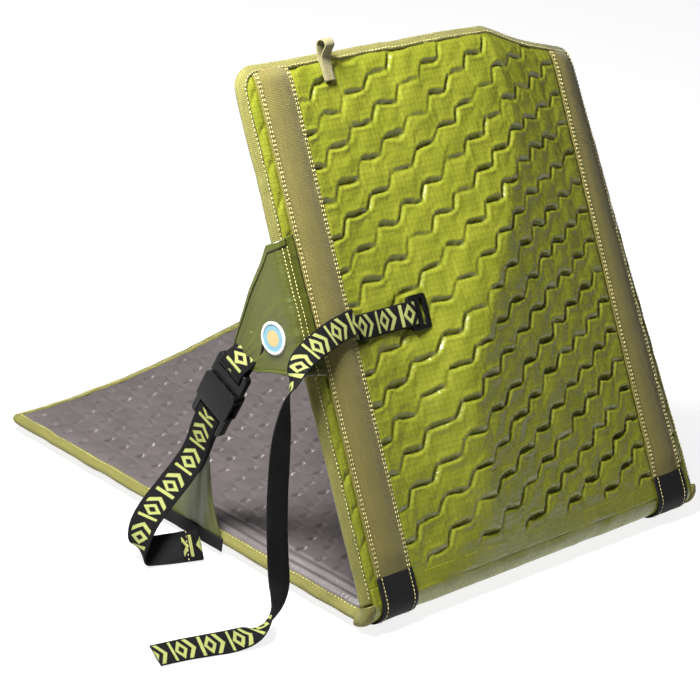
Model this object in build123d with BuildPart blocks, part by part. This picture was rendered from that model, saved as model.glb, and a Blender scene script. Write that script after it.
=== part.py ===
"""Legless folding ground chair: a padded seat and a padded back joined by a fabric fold,
held at an angle by a webbing strap and a side-release buckle on each side.

The chair faces +Y, its width runs along X and the floor is Z = 0.  The left side is -X.
Each panel is described in its own frame: x across, s away from the fold, n outwards.
Everything is drawn with the fold axis at Y = 0 and written with Y = 0 halfway along it.
"""
import os
from math import cos, radians, sin

from build123d import *

os.makedirs("parts", exist_ok=True)

# ---- panels -------------------------------------------------------------------------------
WIDTH = 406.0            # each panel across, binding included
LENGTH = 419.0           # each panel from the fold to its far edge
CORNER = 20.0            # far corner radius
FABRIC = 0.8             # outer shell and inner face
FOAM = 12.0              # closed-cell foam
FOLD_GAP = 0.5           # inner face to the fold plane, so the closed panels do not rub
BINDING = 6.0            # binding width in the plane of the panel
FOAM_SETBACK = 12.0      # the foam ends short of the fold
HALF = WIDTH / 2
FOAM_INNER = FOLD_GAP + FABRIC
FOAM_OUTER = FOAM_INNER + FOAM
SHELL = FOAM_OUTER + FABRIC          # fold plane to the outer shell surface

# ---- stays in their webbing sleeves -----------------------------------------------------------
SLEEVE_WIDTH = 38.0
SLEEVE_DEPTH = 4.9
SLEEVE_X = 168.5
SLEEVE_START = 17.5
SLEEVE_END = LENGTH - BINDING - 0.5
SLEEVE_SKIN = 0.65
STAY_WIDTH = 14.0
STAY_DEPTH = 3.0
STAY_ROUND = 3.5
STAY_PLAY = 0.3
STAY_INSET = 9.0         # sleeve end to stay end
PATCH_DEPTH = 1.5
FOLD_SEAM = 1.6          # depth of the fold fabric

AXIS_Z = SHELL + SLEEVE_DEPTH        # the seat stands on its sleeves
DEPTH_CENTRE = (LENGTH - SHELL - PATCH_DEPTH) / 2      # drawn from the fold, written centred
LEAN = 28.67                         # back, forward of upright

# ---- webbing --------------------------------------------------------------------------------
WEB = 25.0
WEB_DEPTH = 1.6
ROLL_WEB = 20.0
ROLL_WEB_DEPTH = 1.4
LAYER_GAP = 0.15         # between two layers of one doubled webbing

# ---- side wings, as (s, n) on the back and (y, z) on the seat ----------------------------------
WING_DEPTH = 1.6
BACK_WING = ((183.0, 12.0), (283.0, 12.0), (215.0, -57.3), (191.5, -46.3))
SEAT_WING = ((146.0, 7.0), (226.0, 7.0), (192.5, 89.0), (169.5, 79.0))
BADGE = (114.0, 201.0)
BADGE_RADIUS = 13.0
BADGE_DEPTH = 1.2
BASE_TAPE = ((145.0, 6.0), (227.0, 17.0))
BASE_TAPE_DEPTH = 1.2

# ---- side strap line, (y, z) from the back wing tip to the seat wing tip -------------------------
STRAP_TOP = (142.0, 175.0)
STRAP_FOOT = (181.0, 84.0)
STRAP_RUN = ((STRAP_FOOT[0] - STRAP_TOP[0]) ** 2 + (STRAP_FOOT[1] - STRAP_TOP[1]) ** 2) ** 0.5
DOWN_Y = (STRAP_FOOT[0] - STRAP_TOP[0]) / STRAP_RUN
DOWN_Z = (STRAP_FOOT[1] - STRAP_TOP[1]) / STRAP_RUN
WING_LAP = 20.0          # webbing sewn over a wing

# ---- side-release buckle for 25 mm webbing, positions measured down the strap line ----------------
BUCKLE_X = 212.5         # middle plane of the buckle
BUCKLE_WIDTH = 36.0
HOUSING_DEPTH = 12.0
HOUSING_TOP = 27.0
HOUSING_FOOT = 54.0
HOUSING_ROUND = 4.0
POCKET_WIDTH = 28.0
POCKET_DEPTH = 6.8
POCKET_FOOT = 52.0
WINDOW = (34.0, 49.0)
LADDER_DEPTH = 6.0
LADDER_FOOT = 71.0
LADDER_GAP = 26.4        # between the ladder rails, clear of the webbing
MIDDLE_BAR = (60.0, 64.0)
GRIP_BAR = (68.0, LADDER_FOOT)
BAR_DEPTH = 3.2
MALE_TOP = 7.0
MALE_DEPTH = 6.0
MALE_SLOT = (11.0, 17.5)
MALE_FOOT = 26.7
GUIDE_WIDTH = 6.0
GUIDE_FOOT = 46.0
PRONG_ROOT = MALE_FOOT + 0.3
PRONG_FOOT = 50.0
PRONG_DEPTH = 5.4
PRONG_INNER = 9.0
PRONG_OUTER = 13.0
PRONG_NECK = 11.2        # outer face of the prong before its head
PRONG_HEAD = 36.0
WRAP_RADIUS = BAR_DEPTH / 2 + 0.3 + WEB_DEPTH / 2      # webbing mid-line round a bar

# ---- roll-up strap and its ladder lock on the back ------------------------------------------------
ROLL_S = 206.0
ROLL_SEAM_X = -149.3
LOCK_WIDTH = 28.0
LOCK_DEPTH = 3.4
LOCK = (-94.0, -74.0)
LOCK_SLOTS = ((-90.5, -86.2), (-82.5, -78.0))
LOCK_SLOT_WIDTH = 21.0
LOCK_GAP = 0.3
LOCK_N = SHELL + ROLL_WEB_DEPTH + LOCK_GAP + LOCK_DEPTH / 2
LOCK_WRAP = LOCK_DEPTH / 2 + LOCK_GAP + ROLL_WEB_DEPTH / 2
LOCK_TURN = -90.2        # centre of the webbing's turn round the end bar
LOCK_RAMP = (-96.0, -108.0)

# ---- hang loop on the top edge --------------------------------------------------------------------
LOOP_X = -112.0
LOOP_WIDTH = 10.0
LOOP_DEPTH = 1.2
LOOP_BASE = 401.0
LOOP_BEND = 414.0
LOOP_NECK = 423.0
LOOP_OPEN = 10.2         # between the two legs at the neck
LOOP_TOP = LOOP_NECK + LOOP_OPEN / 2

# ---- loose ends of webbing, left side -------------------------------------------------------------
# (t down the strap line, q out from the middle) while the tail hangs in the strap's plane
TAIL_FALL = (
    (75.0, 215.2), (95.0, 217.0), (120.0, 221.5), (145.0, 229.0), (163.0, 237.0), (177.0, 246.5),
    (178.9, 247.3), (181.1, 247.0), (182.8, 245.4), (183.4, 243.3),
)
# (x, y, z) and the direction across the webbing where it lies on the floor
TAIL_FLOOR = (
    ((-235.0, 211.0, 6.3), (0.25, 0.89, 0.38)),
    ((-225.0, 204.3, 6.2), (0.45, 0.81, 0.36)),
    ((-214.5, 196.5, 6.1), (0.50, 0.78, 0.35)),
)
# (x, s, n) on the back, then (x, y, z) and the direction across the webbing to the floor
ROLL_ON_BACK = (
    (-149.5, 212.0, 19.9), (-162.0, 210.5, 19.9), (-176.0, 207.5, 19.9), (-190.0, 203.5, 20.5),
    (-202.0, 199.0, 19.6),
)
ROLL_HANG = (
    ((-213.0, 77.0, 197.5), (-0.50, 0.44, 0.75)),
    ((-223.0, 71.5, 189.0), (-0.72, 0.42, 0.45)),
    ((-231.0, 66.5, 177.0), (-0.86, 0.35, 0.30)),
    ((-236.0, 63.5, 161.0), (-0.97, 0.08, 0.19)),
    ((-238.5, 61.8, 140.0), (-0.96, -0.24, 0.10)),
    ((-240.0, 60.5, 115.0), (-0.98, -0.18, 0.06)),
    ((-241.5, 58.8, 90.0), (-0.99, -0.03, 0.05)),
    ((-243.5, 56.0, 66.0), (-0.96, 0.20, 0.06)),
    ((-246.0, 52.5, 44.0), (-0.92, 0.38, 0.08)),
    ((-249.0, 49.0, 26.0), (-0.86, 0.45, 0.16)),
    ((-254.0, 46.5, 14.5), (-0.66, 0.62, 0.36)),
    ((-263.0, 44.5, 9.0), (-0.30, 0.78, 0.52)),
    ((-276.0, 42.0, 6.4), (-0.08, 0.86, 0.47)),
    ((-293.0, 40.5, 5.4), (-0.00, 0.91, 0.41)),
    ((-315.0, 42.3, 5.2), (0.08, 0.92, 0.38)),
    ((-338.0, 47.0, 5.0), (0.20, 0.91, 0.36)),
    ((-360.0, 53.0, 5.0), (0.24, 0.90, 0.36)),
)

LEAN_SIN = sin(radians(LEAN))
LEAN_COS = cos(radians(LEAN))
seat_frame = Plane(origin=(0, 0, AXIS_Z), x_dir=(-1, 0, 0), z_dir=(0, 0, -1))
back_frame = Plane(origin=(0, 0, AXIS_Z), x_dir=(1, 0, 0), z_dir=(0, -LEAN_COS, LEAN_SIN))
frames = {"seat": seat_frame, "back": back_frame}
sides = {"left": -1, "right": 1}


def save(builder, name):
    """Centre the solid in depth, label it and write it."""
    centred = builder.part.moved(Location((0, -DEPTH_CENTRE, 0)))
    centred.label = name
    export_step(centred, f"parts/{name}.step")
    print(f"{name:24s} {centred.volume / 1000:8.3f} cm3  solids {len(centred.solids())}")


def back_point(x, s, n):
    """A point of the back panel's frame in the chair's frame."""
    return Vector(x, s * LEAN_SIN - n * LEAN_COS, AXIS_Z + s * LEAN_COS + n * LEAN_SIN)


def strap_point(t, q, side):
    """A point t down the strap line and q out from the middle of the chair."""
    return Vector(side * q, STRAP_TOP[0] + t * DOWN_Y, STRAP_TOP[1] + t * DOWN_Z)


def profile_plane(side):
    """Sketch plane with t down the strap and q outwards; extrusions run across the webbing."""
    across = (0, DOWN_Z * side, -DOWN_Y * side)
    return Plane(origin=(0, *STRAP_TOP), x_dir=(0, DOWN_Y, DOWN_Z), z_dir=across)


def flat_plane(side, q):
    """Sketch plane with t down the strap and the webbing width; extrusions run outwards."""
    origin = (side * q, *STRAP_TOP)
    return Plane(origin=origin, x_dir=(0, DOWN_Y, DOWN_Z), z_dir=(side, 0, 0))


def layer(frame, bottom, depth, inset, start):
    """A flat layer of a panel with rounded far corners."""
    reach = LENGTH - inset
    with BuildPart() as slab:
        with BuildSketch(frame.offset(bottom)) as outline:
            with Locations((0, (start + reach) / 2)):
                Rectangle(WIDTH - 2 * inset, reach - start)
            fillet(outline.vertices().sort_by(Axis.Y)[-2:], CORNER - inset)
        extrude(amount=depth)
    return slab


def ribbon(route, width, depth):
    """Webbing along a route of (centre, direction across the webbing) stations."""
    with BuildPart() as strip:
        for index, (centre, across) in enumerate(route):
            before = route[max(index - 1, 0)][0]
            after = route[min(index + 1, len(route) - 1)][0]
            along = (after - before).normalized()
            square_across = across - along * across.dot(along)
            with BuildSketch(Plane(origin=centre, x_dir=square_across, z_dir=along)):
                Rectangle(width, depth)
        loft(ruled=True)
    run = sum((b[0] - a[0]).length for a, b in zip(route, route[1:]))
    print(f"webbing run {run:.0f} mm, volume over section x run "
          f"{strip.part.volume / (run * width * depth):.3f}")
    return strip


# ---- the two padded panels ---------------------------------------------------------------------
for panel, frame in frames.items():
    inner_face = layer(frame, FOLD_GAP, FABRIC, BINDING, 0.5)
    save(inner_face, f"{panel}_inner_face")

    foam_core = layer(frame, FOAM_INNER, FOAM, BINDING, FOAM_SETBACK)
    save(foam_core, f"{panel}_foam_core")

    outer_shell = layer(frame, FOAM_OUTER, FABRIC, BINDING, 0)
    save(outer_shell, f"{panel}_outer_shell")

    with BuildPart() as edge_binding:
        with BuildSketch(frame.offset(FOLD_GAP)) as ring:
            with Locations((0, LENGTH / 2 + 0.25)):
                Rectangle(WIDTH, LENGTH - 0.5)
            fillet(ring.vertices().sort_by(Axis.Y)[-2:], CORNER)
        extrude(amount=SHELL - FOLD_GAP)
        with BuildSketch(frame.offset(FOLD_GAP)) as opening:
            reach = LENGTH - BINDING
            with Locations((0, reach / 2)):
                Rectangle(WIDTH - 2 * BINDING, reach)
            fillet(opening.vertices().sort_by(Axis.Y)[-2:], CORNER - BINDING)
        extrude(amount=SHELL - FOLD_GAP, mode=Mode.SUBTRACT)
    save(edge_binding, f"{panel}_edge_binding")

    for side_name, side in sides.items():
        across = side * SLEEVE_X * (-1 if panel == "seat" else 1)
        sleeve_middle = (SLEEVE_START + SLEEVE_END) / 2
        sleeve_run = SLEEVE_END - SLEEVE_START
        stay_run = sleeve_run - 2 * STAY_INSET

        with BuildPart() as stay_sleeve:
            with BuildSketch(frame.offset(SHELL)):
                with Locations((across, sleeve_middle)):
                    Rectangle(SLEEVE_WIDTH, sleeve_run)
            extrude(amount=SLEEVE_DEPTH)
            with BuildSketch(frame.offset(SHELL + SLEEVE_SKIN)):
                with Locations((across, sleeve_middle)):
                    Rectangle(STAY_WIDTH + 2 * STAY_PLAY, stay_run + 2 * STAY_PLAY)
            extrude(amount=SLEEVE_DEPTH - 2 * SLEEVE_SKIN, mode=Mode.SUBTRACT)
        save(stay_sleeve, f"{panel}_stay_sleeve_{side_name}")

        with BuildPart() as stay:
            with BuildSketch(frame.offset(SHELL + (SLEEVE_DEPTH - STAY_DEPTH) / 2)):
                with Locations((across, sleeve_middle)):
                    RectangleRounded(STAY_WIDTH, stay_run, STAY_ROUND)
            extrude(amount=STAY_DEPTH)
        save(stay, f"{panel}_stay_{side_name}")

# ---- the fold: fabric and reinforcement patches round the axis --------------------------------
FOLD_MIDDLE = radians(-135 - LEAN / 2)        # half way from the seat's underside to the back
fold_pieces = {
    "fold_fabric": (0, WIDTH, SHELL - FOLD_SEAM, SHELL),
    "fold_patch_left": (-SLEEVE_X, SLEEVE_WIDTH, SHELL, SHELL + PATCH_DEPTH),
    "fold_patch_right": (SLEEVE_X, SLEEVE_WIDTH, SHELL, SHELL + PATCH_DEPTH),
}
for piece_name, (middle_x, span, inner, outer) in fold_pieces.items():
    with BuildPart() as fold_piece:
        with BuildSketch(Plane.YZ.offset(middle_x)):
            with BuildLine():
                low_in = (0, AXIS_Z - inner)
                low_out = (0, AXIS_Z - outer)
                mid_in = (inner * cos(FOLD_MIDDLE), AXIS_Z + inner * sin(FOLD_MIDDLE))
                mid_out = (outer * cos(FOLD_MIDDLE), AXIS_Z + outer * sin(FOLD_MIDDLE))
                high_in = (-inner * LEAN_COS, AXIS_Z + inner * LEAN_SIN)
                high_out = (-outer * LEAN_COS, AXIS_Z + outer * LEAN_SIN)
                ThreePointArc(low_in, mid_in, high_in)
                Line(high_in, high_out)
                ThreePointArc(high_out, mid_out, low_out)
                Line(low_out, low_in)
            make_face()
        extrude(amount=span / 2, both=True)
        if middle_x:
            for panel, frame in frames.items():
                across = middle_x * (-1 if panel == "seat" else 1)
                with BuildSketch(frame.offset(SHELL)):
                    with Locations((across, SLEEVE_START / 2)):
                        Rectangle(SLEEVE_WIDTH, SLEEVE_START)
                extrude(amount=PATCH_DEPTH)
    save(fold_piece, piece_name)

# ---- side wings, tapes, straps and buckles ----------------------------------------------------
for side_name, side in sides.items():
    with BuildPart() as back_wing:
        with BuildSketch(Plane.YZ.offset(side * HALF)):
            with BuildLine():
                corners = [back_point(0, s, n) for s, n in BACK_WING]
                Polyline(*[(corner.Y, corner.Z) for corner in corners], close=True)
            make_face()
        extrude(amount=side * WING_DEPTH)
    save(back_wing, f"back_wing_{side_name}")

    with BuildPart() as seat_wing:
        with BuildSketch(Plane.YZ.offset(side * HALF)):
            with BuildLine():
                Polyline(*SEAT_WING, close=True)
            make_face()
        extrude(amount=side * WING_DEPTH)
    save(seat_wing, f"seat_wing_{side_name}")

    with BuildPart() as wing_base_tape:
        (tape_start, tape_foot), (tape_end, tape_top) = BASE_TAPE
        with BuildSketch(Plane.YZ.offset(side * (HALF + WING_DEPTH))):
            with Locations(((tape_start + tape_end) / 2, (tape_foot + tape_top) / 2)):
                Rectangle(tape_end - tape_start, tape_top - tape_foot)
        extrude(amount=side * BASE_TAPE_DEPTH)
    save(wing_base_tape, f"wing_base_tape_{side_name}")

    # webbing sewn to the back wing, round the fixed bar of the male half and back
    wing_layer = HALF + WING_DEPTH + WEB_DEPTH / 2
    over_layer = wing_layer + WEB_DEPTH + LAYER_GAP
    bar_in = BUCKLE_X - WRAP_RADIUS - MALE_DEPTH / 2 + BAR_DEPTH / 2
    bar_out = BUCKLE_X + WRAP_RADIUS + MALE_DEPTH / 2 - BAR_DEPTH / 2
    with BuildPart() as buckle_tab:
        with BuildSketch(profile_plane(side)):
            turn = MALE_SLOT[0] + 1.0
            with BuildLine() as tab_line:
                Polyline((-WING_LAP, wing_layer), (-2, wing_layer), (6, bar_in), (turn, bar_in))
                ThreePointArc(
                    (turn, bar_in), (turn + (bar_out - bar_in) / 2, BUCKLE_X), (turn, bar_out)
                )
                Polyline((turn, bar_out), (6, bar_out), (-4, over_layer), (-WING_LAP, over_layer))
            trace(tab_line.edges(), WEB_DEPTH)
        extrude(amount=WEB / 2, both=True)
    save(buckle_tab, f"buckle_tab_{side_name}")

    # load webbing from the seat wing up behind the ladder and over its middle bar
    rise_layer = BUCKLE_X - WRAP_RADIUS
    fall_layer = BUCKLE_X + WRAP_RADIUS
    with BuildPart() as load_strap:
        with BuildSketch(profile_plane(side)):
            turn = MIDDLE_BAR[0] - 0.5
            with BuildLine() as load_line:
                Polyline(
                    (STRAP_RUN + WING_LAP, wing_layer), (STRAP_RUN, wing_layer),
                    (78, rise_layer), (turn, rise_layer),
                )
                ThreePointArc((turn, rise_layer), (turn - WRAP_RADIUS, BUCKLE_X), (turn, fall_layer))
            trace(load_line.edges(), WEB_DEPTH)
        extrude(amount=WEB / 2, both=True)
    save(load_strap, f"load_strap_{side_name}")

    with BuildPart() as buckle_female:
        with BuildSketch(flat_plane(side, BUCKLE_X)) as housing:
            with Locations(((HOUSING_TOP + HOUSING_FOOT) / 2, 0)):
                Rectangle(HOUSING_FOOT - HOUSING_TOP, BUCKLE_WIDTH)
            fillet(housing.vertices(), HOUSING_ROUND)
        extrude(amount=HOUSING_DEPTH / 2, both=True)
        with BuildSketch(flat_plane(side, BUCKLE_X)) as ladder:
            with Locations(((HOUSING_FOOT - HOUSING_ROUND + LADDER_FOOT) / 2, 0)):
                Rectangle(LADDER_FOOT - HOUSING_FOOT + HOUSING_ROUND, BUCKLE_WIDTH)
            fillet(ladder.vertices().sort_by(Axis.X)[-2:], HOUSING_ROUND)
        extrude(amount=LADDER_DEPTH / 2, both=True)
        with BuildSketch(flat_plane(side, BUCKLE_X)):
            with Locations(((HOUSING_FOOT + LADDER_FOOT) / 2 + 1, 0)):
                Rectangle(LADDER_FOOT - HOUSING_FOOT + 2, LADDER_GAP)
        extrude(amount=HOUSING_DEPTH / 2, both=True, mode=Mode.SUBTRACT)
        for bar_start, bar_end in (MIDDLE_BAR, GRIP_BAR):
            with BuildSketch(flat_plane(side, BUCKLE_X)):
                with Locations(((bar_start + bar_end) / 2, 0)):
                    Rectangle(bar_end - bar_start, LADDER_GAP + 2)
            extrude(amount=BAR_DEPTH / 2, both=True)
        with BuildSketch(flat_plane(side, BUCKLE_X)):
            with Locations(((HOUSING_TOP + POCKET_FOOT) / 2 - 1, 0)):
                Rectangle(POCKET_FOOT - HOUSING_TOP + 2, POCKET_WIDTH)
            with Locations(((WINDOW[0] + WINDOW[1]) / 2, 0)):
                Rectangle(WINDOW[1] - WINDOW[0], BUCKLE_WIDTH + 2)
        extrude(amount=POCKET_DEPTH / 2, both=True, mode=Mode.SUBTRACT)
    save(buckle_female, f"buckle_female_{side_name}")

    with BuildPart() as buckle_male:
        with BuildSketch(flat_plane(side, BUCKLE_X)) as male_frame:
            with Locations(((MALE_TOP + MALE_FOOT) / 2, 0)):
                Rectangle(MALE_FOOT - MALE_TOP, BUCKLE_WIDTH)
            fillet(male_frame.vertices().sort_by(Axis.X)[:2], HOUSING_ROUND)
            with Locations(((MALE_SLOT[0] + MALE_SLOT[1]) / 2, 0)):
                Rectangle(MALE_SLOT[1] - MALE_SLOT[0], LADDER_GAP, mode=Mode.SUBTRACT)
            with Locations(((MALE_FOOT + GUIDE_FOOT) / 2, 0)):
                Rectangle(GUIDE_FOOT - MALE_FOOT, GUIDE_WIDTH)
        extrude(amount=MALE_DEPTH / 2, both=True)
    save(buckle_male, f"buckle_male_{side_name}")

    for prong_name, edge in (("front", side), ("rear", -side)):
        with BuildPart() as prong:
            with BuildSketch(flat_plane(side, BUCKLE_X)):
                with BuildLine():
                    Polyline(
                        (PRONG_ROOT, edge * PRONG_INNER), (PRONG_FOOT, edge * PRONG_INNER),
                        (PRONG_FOOT, edge * PRONG_NECK), (PRONG_HEAD + 6, edge * PRONG_OUTER),
                        (PRONG_HEAD, edge * PRONG_OUTER), (PRONG_HEAD - 3, edge * PRONG_NECK),
                        (PRONG_ROOT, edge * PRONG_NECK), close=True,
                    )
                make_face()
            extrude(amount=PRONG_DEPTH / 2, both=True)
        save(prong, f"buckle_prong_{side_name}_{prong_name}")

    # loose end of the side strap: down over the ladder, then folded over on the floor
    fall_across = Vector(0, -DOWN_Z, DOWN_Y)
    tail_route = [(strap_point(turn, fall_layer, side), fall_across)]
    tail_route += [(strap_point(t, q, side), fall_across) for t, q in TAIL_FALL]
    for (x, y, z), (across_x, across_y, across_z) in TAIL_FLOOR:
        across = Vector(-side * across_x, across_y, across_z)
        tail_route.append((Vector(-side * x, y, z), across))
    strap_tail = ribbon(tail_route, WEB, WEB_DEPTH)
    save(strap_tail, f"strap_tail_{side_name}")

# ---- round patch on the left back wing --------------------------------------------------------
with BuildPart() as wing_badge:
    with BuildSketch(Plane.YZ.offset(-HALF - WING_DEPTH)):
        with Locations(BADGE):
            Circle(BADGE_RADIUS)
    extrude(amount=-BADGE_DEPTH)
save(wing_badge, "wing_badge")

# ---- hang loop ------------------------------------------------------------------------------
with BuildPart() as hang_loop:
    loop_plane = Plane(
        origin=(LOOP_X, 0, AXIS_Z), x_dir=(0, LEAN_SIN, LEAN_COS), z_dir=(1, 0, 0)
    )
    with BuildSketch(loop_plane):
        under = SHELL + LOOP_DEPTH / 2
        over = under + LOOP_DEPTH + LAYER_GAP
        with BuildLine() as loop_line:
            Polyline((LOOP_BASE, under), (LOOP_BEND, under), (LOOP_NECK, under))
            ThreePointArc(
                (LOOP_NECK, under), (LOOP_TOP, under + LOOP_OPEN / 2), (LOOP_NECK, under + LOOP_OPEN)
            )
            Polyline((LOOP_NECK, under + LOOP_OPEN), (LOOP_BEND, over), (LOOP_BASE, over))
        trace(loop_line.edges(), LOOP_DEPTH)
    extrude(amount=LOOP_WIDTH / 2, both=True)
save(hang_loop, "hang_loop")

# ---- roll-up strap ----------------------------------------------------------------------------
with BuildPart() as roll_strap_tab:
    tab_plane = Plane(
        origin=back_point(0, ROLL_S, 0), x_dir=(1, 0, 0), z_dir=(0, -LEAN_SIN, -LEAN_COS)
    )
    with BuildSketch(tab_plane):
        lower = LOCK_N - LOCK_WRAP
        upper = LOCK_N + LOCK_WRAP
        doubled = lower + ROLL_WEB_DEPTH + LAYER_GAP
        with BuildLine() as roll_line:
            Polyline((ROLL_SEAM_X, lower), (LOCK_TURN, lower))
            ThreePointArc((LOCK_TURN, lower), (LOCK_TURN + LOCK_WRAP, LOCK_N), (LOCK_TURN, upper))
            Polyline(
                (LOCK_TURN, upper), (LOCK_RAMP[0], upper), (LOCK_RAMP[1], doubled),
                (ROLL_SEAM_X, doubled),
            )
        trace(roll_line.edges(), ROLL_WEB_DEPTH)
    extrude(amount=ROLL_WEB / 2, both=True)
save(roll_strap_tab, "roll_strap_tab")

with BuildPart() as roll_ladder_lock:
    with BuildSketch(back_frame.offset(LOCK_N)) as lock_plate:
        with Locations(((LOCK[0] + LOCK[1]) / 2, ROLL_S)):
            Rectangle(LOCK[1] - LOCK[0], LOCK_WIDTH)
        fillet(lock_plate.vertices(), LOCK_DEPTH)
        for slot_start, slot_end in LOCK_SLOTS:
            with Locations(((slot_start + slot_end) / 2, ROLL_S)):
                Rectangle(slot_end - slot_start, LOCK_SLOT_WIDTH, mode=Mode.SUBTRACT)
    extrude(amount=LOCK_DEPTH / 2, both=True)
save(roll_ladder_lock, "roll_ladder_lock")

on_back = Vector(0, LEAN_SIN, LEAN_COS)
roll_route = [(back_point(x, s, n), on_back) for x, s, n in ROLL_ON_BACK]
roll_route += [(Vector(*centre), Vector(*across)) for centre, across in ROLL_HANG]
roll_strap_tail = ribbon(roll_route, ROLL_WEB, ROLL_WEB_DEPTH)
save(roll_strap_tail, "roll_strap_tail")
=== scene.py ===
import math

import bmesh
import bpy
import numpy as np
from mathutils import Matrix, Vector


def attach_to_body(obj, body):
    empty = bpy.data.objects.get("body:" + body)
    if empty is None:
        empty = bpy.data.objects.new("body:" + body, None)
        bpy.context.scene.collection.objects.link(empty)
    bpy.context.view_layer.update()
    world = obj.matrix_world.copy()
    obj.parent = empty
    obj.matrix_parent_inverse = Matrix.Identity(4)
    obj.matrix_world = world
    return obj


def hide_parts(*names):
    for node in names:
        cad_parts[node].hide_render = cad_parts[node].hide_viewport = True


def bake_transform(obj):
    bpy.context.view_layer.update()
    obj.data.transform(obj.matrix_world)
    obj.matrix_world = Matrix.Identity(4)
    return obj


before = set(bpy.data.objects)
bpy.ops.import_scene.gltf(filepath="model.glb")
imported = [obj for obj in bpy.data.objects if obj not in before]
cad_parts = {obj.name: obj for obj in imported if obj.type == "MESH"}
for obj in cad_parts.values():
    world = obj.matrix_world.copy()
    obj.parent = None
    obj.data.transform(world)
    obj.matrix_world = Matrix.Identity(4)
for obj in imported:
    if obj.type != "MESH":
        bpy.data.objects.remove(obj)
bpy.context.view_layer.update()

# ---- the chair's own measures, in metres --------------------------------------------------------
MM = 0.001
FOLD_Y, FOLD_Z = -0.2017, 0.019          # the fold axis in the row frame
LEAN = math.radians(28.67)
SIN, COS = math.sin(LEAN), math.cos(LEAN)
HALF, LENGTH = 0.203, 0.419
CORNERS = {"seat": 0.009, "back": 0.020}  # radii of the panels' corners
SHELL = 0.0141                           # fold plane to the outer shell
MIDDLE = 0.0073                          # fold plane to the middle of a bound edge
SLEEVE_X, SLEEVE_HALF = 0.1685, 0.019
CLOSING = math.radians(61.3)             # the fold's travel to flat
CURL_START, CURL_RUN = -0.191, 1.510     # the seat's curl, as a blend across the chair
BEND_START, BEND_RUN = 0.140, 0.430      # the bend in the back's far side, in the same way
SLUMP = 0.029                            # how far the back's far top corner has slumped
SLUMP_START, SLUMP_RUN = 0.070, 0.125    # where the slump starts across the back, and its run
STRAP_WIDTH, STRAP_THICK = 0.025, 1.5 * MM
ROLL_WIDTH, ROLL_THICK = 0.020, 1.3 * MM
WING_THICK = 0.9 * MM
BUCKLE_OUT = 212.5                       # chair's middle to the buckle's middle plane, in mm
BADGE = (0.114, 0.201)                   # the badge's middle, as y from the fold axis and z
PIN_DEPTH = 4.6 * MM                     # how deep the quilting holds the shell's cloth
CLOTH_LOW, CLOTH_HIGH = -0.0064, 0.0045  # limits of the settled cloth's height
SIDES = {"left": -1.0, "right": 1.0}


# ---- small tools ---------------------------------------------------------------------------------
def smooth(t):
    t = np.clip(t, 0.0, 1.0)
    return t * t * (3 - 2 * t)


def lerp(a, b, t):
    return a + (b - a) * t


def chance(a, b, seed):
    """A fixed pseudo-random number in 0..1 for whole numbers a and b."""
    n = np.sin(a * 127.1 + b * 311.7 + seed * 74.7) * 43758.5453
    return n - np.floor(n)


def noise(u, v, seed):
    """Smooth noise in -1..1 with cells of one unit."""
    u, v = np.broadcast_arrays(np.asarray(u, float), np.asarray(v, float))
    i, j = np.floor(u), np.floor(v)
    f, g = smooth(u - i), smooth(v - j)
    low = lerp(chance(i, j, seed), chance(i + 1, j, seed), f)
    high = lerp(chance(i, j + 1, seed), chance(i + 1, j + 1, seed), f)
    return lerp(low, high, g) * 2 - 1


def unit(v):
    v = np.asarray(v, float)
    return v / np.maximum(np.linalg.norm(v, axis=-1, keepdims=True), 1e-12)


def along_path(points):
    """Running length of a path of points."""
    steps = np.linalg.norm(np.diff(points, axis=0), axis=1)
    return np.concatenate([[0.0], np.cumsum(steps)])


def resample(points, step, *others):
    """Points at even steps along a path, with other rows of values carried along."""
    run = along_path(points)
    count = max(int(round(run[-1] / step)), 2) + 1
    at = np.linspace(0, run[-1], count)
    out = [np.stack([np.interp(at, run, np.asarray(a)[:, k]) for k in range(np.shape(a)[1])], 1)
           for a in (points, *others)]
    return out if others else out[0]


def build(name, verts, faces, uvs, materials, face_materials=None, flat=False):
    """A mesh object from arrays: one uv per vertex, in metres."""
    mesh = bpy.data.meshes.new(name)
    mesh.from_pydata(np.asarray(verts, float).tolist(), [], faces)
    mesh.validate()
    obj = bpy.data.objects.new(name, mesh)
    bpy.context.scene.collection.objects.link(obj)
    for material in materials:
        mesh.materials.append(material)
    if face_materials is not None:
        mesh.polygons.foreach_set("material_index", np.asarray(face_materials, np.int32))
    layer = mesh.uv_layers.new(name="weave")
    index = np.zeros(len(mesh.loops), np.int32)
    mesh.loops.foreach_get("vertex_index", index)
    layer.data.foreach_set("uv", np.asarray(uvs, np.float32)[index].ravel())
    mesh.polygons.foreach_set("use_smooth", np.full(len(mesh.polygons), not flat))
    fresh = bmesh.new()
    fresh.from_mesh(mesh)
    bmesh.ops.recalc_face_normals(fresh, faces=fresh.faces)
    fresh.to_mesh(mesh)
    fresh.free()
    return obj


def grid_quads(rows, columns, offset=0):
    i, j = np.meshgrid(np.arange(rows - 1), np.arange(columns - 1), indexing="ij")
    a = (i * columns + j + offset).ravel()
    return np.stack([a, a + columns, a + columns + 1, a + 1], 1)


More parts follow.
